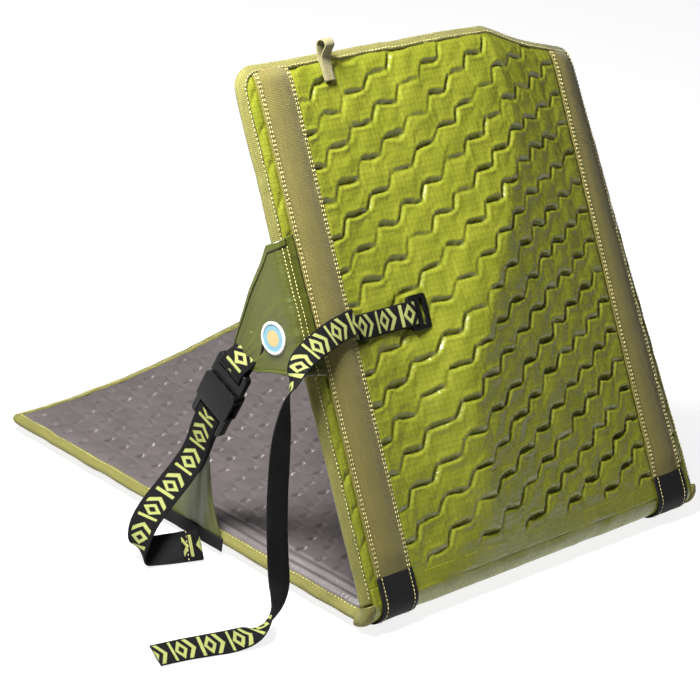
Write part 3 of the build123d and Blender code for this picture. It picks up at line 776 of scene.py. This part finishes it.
def rolls(x, s):
    """Long soft rolls in the seat's lining, beside its left edge."""
    inward = (x + HALF) * 1000
    wander = 1.5 * noise(s / 0.05, s * 0, 51)
    shape = np.sin((inward + wander - 9.0) / 11.5 * math.pi) ** 2
    band = smooth((inward - 7) / 4) * smooth((36 - inward) / 5)
    fade = smooth((0.270 - s) / 0.10) * smooth(s / 0.012)
    return (shape * 3.2 - 1.3) * band * fade * MM, band * fade


def pad(panel, step):
    """One panel's quilted pad, with shell, foam and lining in one closed piece."""
    at, corner = PANELS[panel], CORNERS[panel]
    inset = 2.2 * MM
    across = int(2 * (HALF - inset) / step)
    deep = int((LENGTH - inset) / step)
    x = np.linspace(-(HALF - inset), HALF - inset, across)
    curve = np.clip((np.abs(x) - (HALF - corner)) / (corner - inset), 0, 1)
    reach = LENGTH - corner + np.sqrt(np.maximum(1 - curve ** 2, 0.0)) * (corner - inset)
    t = np.linspace(0, 1, deep)
    X, T = np.meshgrid(x, t, indexing="ij")
    S = T * reach[:, None]
    D = edge_distance(X, S, corner)
    quilted = smooth((D - 0.004) / 0.010)
    at_fold = smooth((S - 0.013) / 0.010)
    beside = np.abs(np.abs(X) - SLEEVE_X)
    sewn = smooth((beside - SLEEVE_HALF + 0.001) / 0.004)
    relief = puffed(X, S) if panel == "back" else shell_relief(X, S)
    outer = face_level(D, True) + relief * quilted * at_fold * sewn
    outer = outer - 0.0006 * (1 - sewn) * quilted
    inner = face_level(D, False) - lining_relief(X, S) * quilted * smooth((S - 0.006) / 0.02) * 0.8
    if panel == "seat":
        roll, cover = rolls(X, S)
        plain = face_level(D, False)
        inner = lerp(inner, plain, cover) - roll
    inner = np.maximum(inner, lerp(0.0006, 0.0009, smooth(S / 0.02)))
    uv = np.stack([X, S], -1)
    obj = slab(f"{panel}_pad", at(X, S, outer), at(X, S, inner), uv, [GREEN, GREY, BINDING])
    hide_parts(f"{panel}_outer_shell", f"{panel}_foam_core", f"{panel}_inner_face")
    return attach(obj)


def outline(corner, step=3.0 * MM, start=0.0005):
    """The panel's outline as (x, s) with its outward direction, left fold end to right."""
    points, normals = [], []
    straight = np.arange(start, LENGTH - corner, step)
    for s in straight:
        points.append((-HALF, s))
        normals.append((-1.0, 0.0))
    for angle in np.linspace(180, 90, 13):
        c, q = math.cos(math.radians(angle)), math.sin(math.radians(angle))
        points.append((-HALF + corner + corner * c, LENGTH - corner + corner * q))
        normals.append((c, q))
    for x in np.arange(-HALF + corner + step, 0.0, step):
        points.append((x, LENGTH))
        normals.append((0.0, 1.0))
    points, normals = np.array(points), np.array(normals)
    mirror = np.array([-1.0, 1.0])
    return np.concatenate([points, (points * mirror)[::-1]]), \
        np.concatenate([normals, (normals * mirror)[::-1]])


def binding(panel, seed):
    """The folded tape round a panel's edge, and its stitching."""
    at = PANELS[panel]
    points, normals = outline(CORNERS[panel])
    run = along_path(points)
    depth = np.array([7.4, 6.4, 4.8, 3.0, 1.4, 0.4, -0.2, 0.4, 1.4, 3.0, 5.0, 7.5, 9.0, 8.0, 6.6]) * MM
    level = np.empty_like(depth)
    for k in range(7):
        level[k] = face_level(depth[k] + 0.5 * MM, True) + 0.9 * MM
        level[12 - k] = face_level(depth[12 - k] + 0.5 * MM, False) - 0.8 * MM
    level[6] = MIDDLE
    level[5], level[7] = MIDDLE + 1.7 * MM, MIDDLE - 1.7 * MM
    level[0], level[12] = level[0] - 1.1 * MM, level[12] + 1.0 * MM
    level[13], level[14] = MIDDLE - 2.0 * MM, MIDDLE + 2.0 * MM
    level = np.maximum(level, 0.0003)
    sag = (0.55 * MM * noise(run / 0.021, run * 0, seed)[:, None]
           + 0.25 * MM * noise(run / 0.008, run * 0, seed + 1)[:, None])
    puff = 0.5 * MM * noise(run[:, None] / 0.011, np.arange(15)[None, :] / 3.0, seed + 2)
    d = depth[None, :] + sag
    n = np.maximum(level[None, :] + puff * (np.abs(level - MIDDLE) > 0.002)[None, :], 0.0003)
    x = points[:, :1] - normals[:, :1] * d
    s = np.maximum(points[:, 1:] - normals[:, 1:] * d, 0.0)
    around = np.cumsum(np.concatenate([[0], np.hypot(np.diff(depth), np.diff(level))]))
    uv = np.stack(np.broadcast_arrays(run[:, None], around[None, :]), -1)
    obj = rings(f"{panel}_binding", at(x, s, n), uv, [BINDING])
    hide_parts(f"{panel}_edge_binding")
    attach(obj)
    seams = []
    for outer, k in ((True, 2), (False, 10)):
        d_seam = (5.2 if outer else 6.1) * MM + sag[:, 0]
        lift = 0.25 * MM if outer else -0.2 * MM
        n_seam = np.maximum(n[:, k] * 0.6 + n[:, k - 1 if outer else k + 1] * 0.4 + lift, 0.0002)
        seam = at(points[:, 0] - normals[:, 0] * d_seam,
                  np.maximum(points[:, 1] - normals[:, 1] * d_seam, 0), n_seam)
        out = outward(panel, points[:, 0], points[:, 1])
        seams.append((seam[2:-2], (out if outer else -out)[2:-2]))
    return seams


def sleeve(panel, side, seed):
    """A stay sleeve: webbing sewn down along both edges over a flat batten."""
    at = PANELS[panel]
    side_name = "left" if side < 0 else "right"
    start, end = 0.0150, 0.4155
    s = np.arange(start, end, 2.0 * MM)
    a = np.array([-19, -18.6, -17.5, -14.5, -11.5, -8, -4, 0, 4, 8, 11.5, 14.5, 17.5, 18.6, 19,
                  18, 0, -18]) * MM
    crown = np.array([0.2, 1.0, 1.2, 1.4, 2.2, 3.4, 3.8, 3.9, 3.8, 3.4, 2.2, 1.4, 1.2, 1.0, 0.2,
                      -0.4, -0.4, -0.4]) * MM
    x = side * SLEEVE_X + a[None, :] + 0.35 * MM * noise(s / 0.03, s * 0, seed)[:, None]
    d_end = LENGTH - s
    base = face_level(d_end, True)[:, None] + 0.1 * MM
    low = smooth((s - start) / 0.02) * smooth((end - s) / 0.010)
    lumps = 0.22 * MM * noise(s[:, None] / 0.017, a[None, :] / 0.012, seed + 3)
    n = base + crown[None, :] * lerp(0.35, 1.0, low)[:, None] + lumps * (crown > 0)[None, :]
    S = np.broadcast_to(s[:, None], x.shape)
    uv = np.stack(np.broadcast_arrays(s[:, None], a[None, :]), -1)
    obj = rings(f"{panel}_sleeve_{side_name}", at(x, S, n), uv, [SLEEVE])
    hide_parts(f"{panel}_stay_sleeve_{side_name}")
    attach(obj)
    seams = []
    out = outward(panel, np.full_like(s, side * SLEEVE_X), s)
    for edge in (-1, 1):
        for inset in (15.6, 17.6):
            seam = at(side * SLEEVE_X + edge * inset * MM, s,
                      base[:, 0] + 1.75 * MM * lerp(0.35, 1.0, low))
            seams.append((seam[1:-2], out[1:-2]))
    # the batten inside
    run = np.arange(0.040, 0.3995, 4 * MM)
    across = np.array([-7, -6.3, 0, 6.3, 7, 6.3, 0, -6.3]) * MM
    thick = np.array([0, 0.9, 1.0, 0.9, 0, -0.9, -1.0, -0.9]) * MM
    X = side * SLEEVE_X + across[None, :]
    S2 = np.broadcast_to(run[:, None], (len(run), 8))
    uv2 = np.stack(np.broadcast_arrays(run[:, None], across[None, :]), -1)
    core = SHELL + 1.6 * MM + thick[None, :]
    stay = rings(f"{panel}_batten_{side_name}", at(X + 0 * S2, S2, core), uv2, [STAY])
    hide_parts(f"{panel}_stay_{side_name}")
    attach(stay)
    return seams


pad("back", 1.25 * MM)
pad("seat", 1.4 * MM)
for panel in PANELS:
    seams = binding(panel, 60 if panel == "back" else 70)
    for side in SIDES.values():
        seams += sleeve(panel, side, 80 + side + (10 if panel == "seat" else 0))
    thread = stitches(f"{panel}_stitching", seams, THREAD)
    attach(thread)


# ---- the fold ---------------------------------------------------------------------------------------
def fold_ring(x, angle, radius):
    """Points round the fold axis; angle 0 is under the seat and TURN behind the back."""
    a = -math.pi / 2 - angle
    return np.stack(np.broadcast_arrays(x, FOLD_Y + radius * np.cos(a), FOLD_Z + radius * np.sin(a)), -1)


TURN = math.radians(90 + 28.67)


def wrap(name, x, lift, radius, thick, materials, node, legs=0.0):
    """Cloth round the fold, with legs that run up the panels."""
    arc = np.linspace(0, TURN, 25)
    X = x[None, :]
    grid = fold_ring(X, arc[:, None], radius + lift(X, arc[:, None]))
    if legs:
        steps = np.arange(legs, 0.0005, -1.2 * MM)[:, None]
        low = np.stack(np.broadcast_arrays(X, FOLD_Y + steps, FOLD_Z - radius - lift(X, 0 * steps)), -1)
        high = back_at(X, steps[::-1], radius + lift(X, 0 * steps) + 0 * X)
        grid = np.concatenate([low, grid, high])
    run = np.concatenate([[0], np.cumsum(np.linalg.norm(np.diff(grid[:, 0], axis=0), axis=1))])
    uv = np.stack(np.broadcast_arrays(X, run[:, None]), -1)
    obj = cloth(name, grid, thick, uv, materials)
    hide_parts(node)
    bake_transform(obj)
    return obj


wrap("fold_cloth", np.linspace(-HALF + 0.0078, HALF - 0.0078, 205),
     lambda x, a: (0.35 * noise(x / 0.012, a * 2.0, 91) + 0.3 * noise(x / 0.03, a, 92)) * MM,
     0.0135, 0.9 * MM, [GREEN, GREEN, GREEN], "fold_fabric", legs=0.012)
for side_name, side in SIDES.items():
    wrap(f"fold_patch_{side_name}_cloth", side * SLEEVE_X + np.linspace(-19.2, 19.2, 21) * MM,
         lambda x, a: 0.2 * noise(x / 0.008, a * 3, 93) * MM, 0.0153, 1.3 * MM,
         [PATCH, PATCH, PATCH], f"fold_patch_{side_name}", legs=0.0185)
    # its two stitch rows
    seams = []
    for offset in (-15.0, 15.0):
        x = side * SLEEVE_X + offset * MM
        steps = np.linspace(0.017, 0.001, 9)
        round_fold = fold_ring(x, np.linspace(0, TURN, 30), 0.0162)
        low = np.stack(np.broadcast_arrays(x, FOLD_Y + steps, FOLD_Z - 0.0162), -1)
        seam = np.concatenate([low, round_fold, back_at(x, steps[::-1], 0.0162)])
        away = np.concatenate([np.tile([0, 0, -1.0], (9, 1)),
                               round_fold - np.array([x, FOLD_Y, FOLD_Z]), np.tile([0, -COS, SIN], (9, 1))])
        seams.append((seam, unit(away)))
    thread = stitches(f"fold_patch_{side_name}_stitching", seams, THREAD, length=2.6 * MM, pitch=3.2 * MM)
    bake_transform(thread)
    # binding carried round the fold at the panels' ends
    arc = np.linspace(-0.02, TURN + 0.02, 27)
    reach = np.array([1.5, 3.0, 7.3, 12.0, 14.2, 14.9, 14.7, 13.2, 8.0, 2.0]) * MM
    inset = np.array([8.0, 2.0, -0.2, 0.3, 1.6, 4.0, 7.6, 7.8, 8.0, 8.2]) * MM
    puff = 0.35 * MM * noise(arc[:, None] * 5, np.arange(10)[None, :] / 2.5, 95 + side)
    loops = fold_ring(side * (HALF - inset)[None, :] + 0 * arc[:, None], arc[:, None], reach[None, :] + puff)
    round_section = np.cumsum(np.concatenate([[0], np.hypot(np.diff(reach), np.diff(inset))]))
    uv = np.stack(np.broadcast_arrays(arc[:, None] * 0.012, round_section[None, :]), -1)
    cap = rings(f"fold_binding_{side_name}", loops, uv, [BINDING])
    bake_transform(cap)

# ---- side wings, webbing and buckles ---------------------------------------------------------------
OUT_OF_BACK = Vector((0.0, -COS, SIN))


def blend_back(obj):
    """Bakes the piece's transform into its mesh."""
    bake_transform(obj)
    return obj


def strap_path(points, side, step=1.2 * MM):
    flat = np.array(points) * MM
    line = resample(nurbs_lines(strap_at(flat[:, 0], flat[:, 1], side))[0], step)
    return line, np.broadcast_to(np.array([0.0, *STRAP_ACROSS]), line.shape)


def wing_pucker(u, v, seed):
    """Folds that run out from the seam of a gusset."""
    fan = noise(v * 8 + u * 1.4, u * 1.6, seed) + 0.5 * noise(v * 17, u * 2.4, seed + 1)
    pinch = (np.maximum(0.45 - np.abs(noise(v * 5.2 + 0.3, u * 1.2, seed + 2)), 0)
             * np.exp(-((u - 0.12) / 0.16) ** 2))
    return (1.3 * fan * smooth(u * 5 + 0.3) * (1 - 0.45 * u) - 5.5 * pinch) * MM


def arc_points(centre, radii, angles):
    """Points round a centre at angles in degrees, with a signed radius for each direction."""
    return [(centre[0] + radii[0] * math.cos(math.radians(a)),
             centre[1] + radii[1] * math.sin(math.radians(a))) for a in angles]


def bar_turn(name, side, bar, radii):
    """The side webbing's half turn round a buckle's bar, bar mm down the strap's line."""
    turn = np.array(arc_points((bar, BUCKLE_OUT), radii, np.linspace(-90, 90, 17))) * MM
    line = strap_at(turn[:, 0], turn[:, 1], side)
    wide = np.broadcast_to(np.array([0.0, *STRAP_ACROSS]) * side, line.shape)
    return ribbon(name, line, wide, STRAP_WIDTH, STRAP_THICK, [WEB, WEB])


def panel_plane(x, s, n):
    """Row-frame points from x, and s and n of the flat back."""
    x, s, n = np.broadcast_arrays(*(np.asarray(a, float) for a in (x, s, n)))
    return np.stack([x, FOLD_Y + s * SIN - n * COS, FOLD_Z + s * COS + n * SIN], -1)


WING_FREE_EDGE = ((284.2, 3.1), (275.0, -4.5), (265.5, -14.5), (252.6, -28.3), (235.0, -42.0),
                  (221.5, -53.5), (209.0, -63.0))
WING_LOW_EDGE = ((181.5, 3.8), (184.0, -6.7), (187.0, -17.2), (189.6, -29.0), (192.0, -40.0), (197.3, -50.4))
U = np.linspace(0, 1, 72)
V = np.linspace(0, 1, 76)
UU, VV = np.meshgrid(U, V, indexing="ij")
for side_name, side in SIDES.items():
    # back wing: from the flap over the panel's edge, then in to the tip
    edges = []
    for outline_points in (WING_LOW_EDGE, WING_FREE_EDGE):
        flat = np.array(outline_points) * MM
        line = nurbs_lines(np.concatenate([np.zeros((len(flat), 1)), flat], 1))[0]
        run = along_path(line) / along_path(line)[-1]
        edges.append(np.stack([np.interp(np.linspace(0, 1, 50), run, line[:, k]) for k in (1, 2)], 1))
    free = lerp(edges[0][:, None, :], edges[1][:, None, :], V[None, :, None])
    drop = np.array([back_at(side * HALF, s, 0.003) - panel_plane(side * HALF, s, 0.003)
                     for s in (0.18, 0.28)])
    hang = lerp(drop[0], drop[1], V[:, None])[None] * np.linspace(1, 0, 50)[:, None, None] ** 1.5
    tip_out = 1.9 * MM * smooth((np.linspace(0, 1, 50) - 0.45) / 0.4)[:, None]
    free = panel_plane(side * (0.2052 + tip_out), free[..., 0], free[..., 1]) + hang
    if side < 0:
        lap = ((0.1886, 0.0150, 0.4), (0.1975, 0.0140, 0.2), (0.2022, 0.0122, 0.1),
               (0.2042, 0.0096, 0.05), (0.2051, 0.0060, 0.0))
    else:
        lap = ((0.2032, 0.0066, 0.04), (0.2042, 0.0056, 0.02), (0.2048, 0.0046, 0.0))
    rows = [back_at(side * x, lerp(0.1815 - grow * 0.01, 0.2842 + grow * 0.01, V), n) for x, n, grow in lap]
    path = np.concatenate([np.stack(rows), free])
    run = np.linalg.norm(np.diff(path, axis=0), axis=-1).mean(axis=1)
    run = np.concatenate([[0], np.cumsum(run)]) / run.sum()
    grid = np.empty((len(U), len(V), 3))
    for j in range(len(V)):
        for k in range(3):
            grid[:, j, k] = np.interp(U, run, path[:, j, k])
    near = ((grid[..., 1] - (BADGE[0] + FOLD_Y)) / 0.017) ** 2 + ((grid[..., 2] - BADGE[1]) / 0.017) ** 2
    calm = (1 - 0.9 * np.exp(-near ** 2)) * (1 - 0.6 * smooth((UU - 0.85) / 0.1))
    calm = calm * (1.0 if side < 0 else smooth((UU - 0.05) / 0.15))
    across_wing = grid_normals(grid)
    across_wing *= np.sign(np.sum(across_wing * np.array([side, -0.3, 0.2]), -1, keepdims=True))
    pucker = np.maximum(wing_pucker(UU, VV, 101) * calm, -0.5 * MM)
    grid = grid + across_wing * (pucker + 0.7 * MM)[..., None]
    uv = np.stack([UU * 0.09, VV * 0.10], -1)
    wing = cloth(f"back_wing_{side_name}_cloth", grid, WING_THICK, uv, [WING_GREEN] * 3)
    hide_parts(f"back_wing_{side_name}")
    blend_back(wing)
    # hems along both free edges and the tip, and the seams
    for label, part in (("edge", lambda g: g[6:, -5:][:, ::-1]), ("low", lambda g: g[8:, :4]),
                        ("tip", lambda g: g[-5:, :].swapaxes(0, 1))):
        strip, normals = part(grid), part(across_wing)
        steps = [np.arange(count) * 1.4 * MM for count in strip.shape[:2]]
        hem = cloth(f"back_wing_{side_name}_hem_{label}", strip + normals * 0.95 * MM, WING_THICK,
                    np.stack(np.meshgrid(*steps, indexing="ij"), -1), [WING_GREEN] * 3)
        blend_back(hem)
    seams = []
    if side < 0:
        k = int(np.argmin(np.abs(np.linspace(0, 1, len(U)) - run[1])))
        for j in (k - 1, k + 2):
            seams.append((grid[j, 1:-1] + across_wing[j, 1:-1] * 0.6 * MM, across_wing[j, 1:-1]))
    for j in (-2, -4):
        seams.append((grid[j, 2:-3] + across_wing[j, 2:-3] * 1.55 * MM, across_wing[j, 2:-3]))
    thread = stitches(f"back_wing_{side_name}_stitching", seams, THREAD, pitch=3.0 * MM)
    blend_back(thread)

    # seat wing: up from the seat's edge to the load webbing
    base_s = lerp(0.146, 0.226, V)
    base = seat_at(side * 0.2046, base_s, 0.0125)
    low = seat_at(side * 0.2050, base_s, 0.002)
    tip = np.stack([np.full_like(V, side * 0.2046), lerp(0.1695, 0.1925, V) + FOLD_Y,
                    lerp(0.079, 0.089, V)], -1)
    share = UU[..., None]
    grid = np.where(share < 0.15, lerp(base[None], low[None], share / 0.15),
                    lerp(low[None], tip[None], (share - 0.15) / 0.85))
    pull = 4.0 * MM * np.sin(math.pi * UU) * (VV - 0.5) ** 3 * -8
    grid[..., 1] += pull
    drape = noise(VV * 4.5 + 0.5 * UU, UU * 1.1, 111) + 0.5 * noise(VV * 11 + 0.8 * UU, UU * 1.7, 112)
    grid[..., 0] += side * (2.2 * MM * drape * smooth(UU * 3.5) * (1 - 0.5 * UU) + 0.0012)
    uv = np.stack([VV * 0.08, UU * 0.08], -1)
    wing = cloth(f"seat_wing_{side_name}_cloth", grid, WING_THICK, uv, [WING_GREEN] * 3)
    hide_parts(f"seat_wing_{side_name}")
    if side < 0:
        blend_seat(wing)
    else:
        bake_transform(wing)

    # black tape sewn over the wing's base
    tape_s = np.linspace(0.144, 0.228, 43)
    tape_n = np.linspace(0.0135, 0.0025, 7)
    S, N = np.meshgrid(tape_s, tape_n, indexing="ij")
    grid = seat_at(side * (0.2068 + 0.0004 * noise(S / 0.01, N / 0.005, 121)), S, N)
    base_tape = cloth(f"wing_tape_{side_name}", grid, 1.1 * MM, np.stack([S, N], -1), [WEB] * 3)
    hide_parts(f"wing_base_tape_{side_name}")
    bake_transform(base_tape)

    # webbing from the back wing through the male half, in a run and a turn that rides the buckle
    outer_run, across = strap_path(
        [(-22, 205.9), (-12, 205.8), (-5, 206.4), (1, 211.5), (5, 216.4), (12, 216.6)], side)
    inner_run, across_in = strap_path(
        [(-18, 204.0), (-8, 204.0), (0, 204.6), (5, 208.2), (8, 208.4), (12, 208.4)], side)
    tab = ribbon(f"buckle_tab_{side_name}_outer", outer_run, across * side, STRAP_WIDTH, STRAP_THICK,
                 [MOTIF, WEB], 0.1 * MM)
    under = ribbon(f"buckle_tab_{side_name}_inner", inner_run, across_in * side, STRAP_WIDTH, STRAP_THICK,
                   [MOTIF, WEB], 0.1 * MM)
    loop = bar_turn(f"buckle_tab_{side_name}_turn", side, 12, (4.1, 4.1))
    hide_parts(f"buckle_tab_{side_name}")
    for piece in (tab, under):
        blend_back(piece)
    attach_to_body(loop, f"buckle_{side_name}")

    # load webbing up from the seat wing, behind the ladder and over its middle bar
    load_run, across = strap_path([(119, 206.9), (104, 206.9), (96, 207.2), (86, 208.6),
                                   (78, 209.8), (68, 209.8), (60, 209.8)], side)
    load = ribbon(f"load_strap_{side_name}_webbing", load_run, across * side, STRAP_WIDTH, STRAP_THICK,
                  [MOTIF, WEB], 0.12 * MM, 7)
    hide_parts(f"load_strap_{side_name}")
    bend = bar_turn(f"load_strap_{side_name}_turn", side, 60, (-2.7, 2.7))
    blend_seat(load)
    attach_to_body(bend, f"clasp_{side_name}")

# the roll-up strap's sewn tab, round the end bar of its ladder lock
ROLL_S = 0.206
tab_lift = float(back_shape(np.array(-0.088), np.array(ROLL_S)))
turn = arc_points((-90.2, 17.5), (2.5, 2.5), np.linspace(-80, 80, 13))
flat = np.array([(-149.3, 14.9), (-120, 14.9), (-108, 15.0), (-96, 15.0), *turn,
                 (-96, 20.0), (-108, 16.8), (-120, 16.6), (-149.3, 16.6)]) * MM
x = flat[:, 0]
bulge = back_shape(x, np.full_like(x, ROLL_S))
line = resample(nurbs_lines(panel_plane(x, ROLL_S, flat[:, 1] + bulge))[0], 1.2 * MM)
tab = ribbon("roll_strap_tab_webbing", line, np.broadcast_to([0.0, SIN, COS], line.shape), ROLL_WIDTH,
             ROLL_THICK, [WEB, MOTIF])
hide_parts("roll_strap_tab")
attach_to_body(tab, "back")


# ---- moulded parts -----------------------------------------------------------------------------------
def moulded_copy(node, name, round_off, body, shift=(0, 0, 0)):
    """A moulded part on its CAD shape, with its edges rounded."""
    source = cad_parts[node]
    mesh = source.data.copy()
    mesh.name = name
    mesh.materials.clear()
    mesh.materials.append(PLASTIC)
    work = bmesh.new()
    work.from_mesh(mesh)
    bmesh.ops.remove_doubles(work, verts=work.verts, dist=1e-6)
    bmesh.ops.dissolve_limit(work, angle_limit=math.radians(2), verts=work.verts, edges=work.edges)
    sharp = [e for e in work.edges if len(e.link_faces) == 2 and e.calc_face_angle(0) > math.radians(25)]
    bmesh.ops.bevel(work, geom=sharp, offset=round_off, segments=3, profile=0.5, affect="EDGES",
                    clamp_overlap=True)
    for face in work.faces:
        face.smooth = True
    bmesh.ops.translate(work, verts=work.verts, vec=Vector(shift))
    work.to_mesh(mesh)
    work.free()
    obj = bpy.data.objects.new(name, mesh)
    bpy.context.scene.collection.objects.link(obj)
    layer = mesh.uv_layers.get("weave") or mesh.uv_layers.new(name="weave")
    index = np.zeros(len(mesh.loops), np.int32)
    mesh.loops.foreach_get("vertex_index", index)
    co = np.array([v.co for v in mesh.vertices])
    layer.data.foreach_set("uv", co[:, 1:][index].astype(np.float32).ravel())
    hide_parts(node)
    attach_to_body(obj, body)
    return obj


for side_name, side in SIDES.items():
    moulded_copy(f"buckle_female_{side_name}", f"buckle_body_{side_name}", 0.9 * MM, f"clasp_{side_name}")
    moulded_copy(f"buckle_male_{side_name}", f"buckle_frame_{side_name}", 0.7 * MM, f"buckle_{side_name}")
    for end in ("front", "rear"):
        moulded_copy(f"buckle_prong_{side_name}_{end}", f"buckle_arm_{side_name}_{end}", 0.4 * MM,
                     f"prong_{side_name}_{end}")
moulded_copy("roll_ladder_lock", "roll_lock_frame", 0.6 * MM, "roll_lock", OUT_OF_BACK * tab_lift)

# ---- hang loop and badge -----------------------------------------------------------------------------
over = arc_points((423, 19.6), (5.1, -5.1), np.linspace(80, -80, 9))
flat = np.array([(396, 14.9), (408, 14.6), (415, 13.0), (419, 13.4), (423, 14.4), *over,
                 (422, 24.4), (417, 18.2), (413, 16.0), (404, 16.0), (396, 16.2)]) * MM
line = resample(nurbs_lines(panel_plane(-0.112, flat[:, 0], flat[:, 1]))[0], 1.0 * MM)
hang = ribbon("hang_loop_tape", line, np.broadcast_to([1.0, 0, 0], line.shape), 0.010, 1.1 * MM,
              [KHAKI, KHAKI])
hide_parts("hang_loop")
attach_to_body(hang, "back")

radii = np.array([0.0, 3.0, 6.0, 9.0, 10.6, 11.0, 11.8, 12.6, 13.1, 13.1]) * MM
heights = np.array([1.25, 1.2, 1.15, 1.1, 1.05, 1.45, 1.75, 1.45, 0.9, 0.0]) * MM
turns = np.linspace(0, 2 * math.pi, 49)[:-1]
loops = np.stack([np.broadcast_to(-0.2063 - heights[:, None], (10, 48)),
                  BADGE[0] + FOLD_Y + radii[:, None] * np.cos(turns),
                  BADGE[1] + radii[:, None] * np.sin(turns)], -1)
loops[0] = loops[0].mean(axis=0) + (loops[1] - loops[1].mean(axis=0)) * 0.02
uv = np.stack([radii[:, None] * np.cos(turns), radii[:, None] * np.sin(turns)], -1)
p = Paint("badge", rough=0.55, Sheen_Weight=0.2)
radius = p.math("SQRT", p.math("ADD", p.math("POWER", p.u, 2.0), p.math("POWER", p.v, 2.0)))
rim = p.math("GREATER_THAN", radius, 10.8)
core = p.math("LESS_THAN", radius, 6.4)
yarn = p.noise(0.9, 2.0, p.stretched(0.35, 1.0))
teal = p.mix(yarn, (0.05, 0.16, 0.22), (0.13, 0.28, 0.34))
sand = p.mix(yarn, (0.25, 0.17, 0.05), (0.42, 0.31, 0.12))
p.colour(p.mix(rim, p.mix(core, teal, sand), (0.52, 0.51, 0.47)))
p.bump(p.math("MULTIPLY", p.ribs(0.7, "u"), p.ribs(0.7, "v")), 0.0002, 0.7)
disc = rings("badge_patch", loops, uv, [p.material])
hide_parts("wing_badge")
blend_back(disc)

# ---- light and floor ------------------------------------------------------------------------------
floor = bpy.data.meshes.new("floor")
reach = 60.0                             # so far that a low view shows no horizon
floor.from_pydata([(-reach, -reach, 0), (reach, -reach, 0), (reach, reach, 0), (-reach, reach, 0)], [],
                  [(0, 1, 2, 3)])
ground = bpy.data.objects.new("floor", floor)
bpy.context.scene.collection.objects.link(ground)
paper = bpy.data.materials.new("paper")
paper.use_nodes = True
for socket, value in (("Base Color", (0.25, 0.25, 0.25, 1)), ("Roughness", 0.9),
                      ("Emission Color", (1, 1, 1, 1)), ("Emission Strength", 0.85)):
    paper.node_tree.nodes["Principled BSDF"].inputs[socket].default_value = value
floor.materials.append(paper)


def area_light(name, direction, distance, size, power, colour=(1, 1, 1)):
    lamp = bpy.data.lights.new(name, "AREA")
    lamp.size, lamp.energy, lamp.color = size, power, colour
    obj = bpy.data.objects.new(name, lamp)
    bpy.context.scene.collection.objects.link(obj)
    d = Vector(direction).normalized()
    obj.location = Vector((0, 0, 0.15)) + d * distance
    obj.rotation_mode = "QUATERNION"
    obj.rotation_quaternion = d.to_track_quat("Z", "Y")
    return obj


area_light("key", (-0.60, 0.0, 0.90), 1.02, 0.30, 43)
area_light("front_fill", (-0.3, -1.0, 0.55), 3.0, 1.6, 1.5)
area_light("top_fill", (0.1, 0.9, 0.8), 3.4, 2.2, 12)
world = bpy.data.worlds.new("studio")
world.use_nodes = True
world.node_tree.nodes["Background"].inputs["Color"].default_value = (1, 1, 1, 1)
world.node_tree.nodes["Background"].inputs["Strength"].default_value = 0.07
bpy.context.scene.world = world
bpy.context.scene.view_settings.view_transform = "Standard"
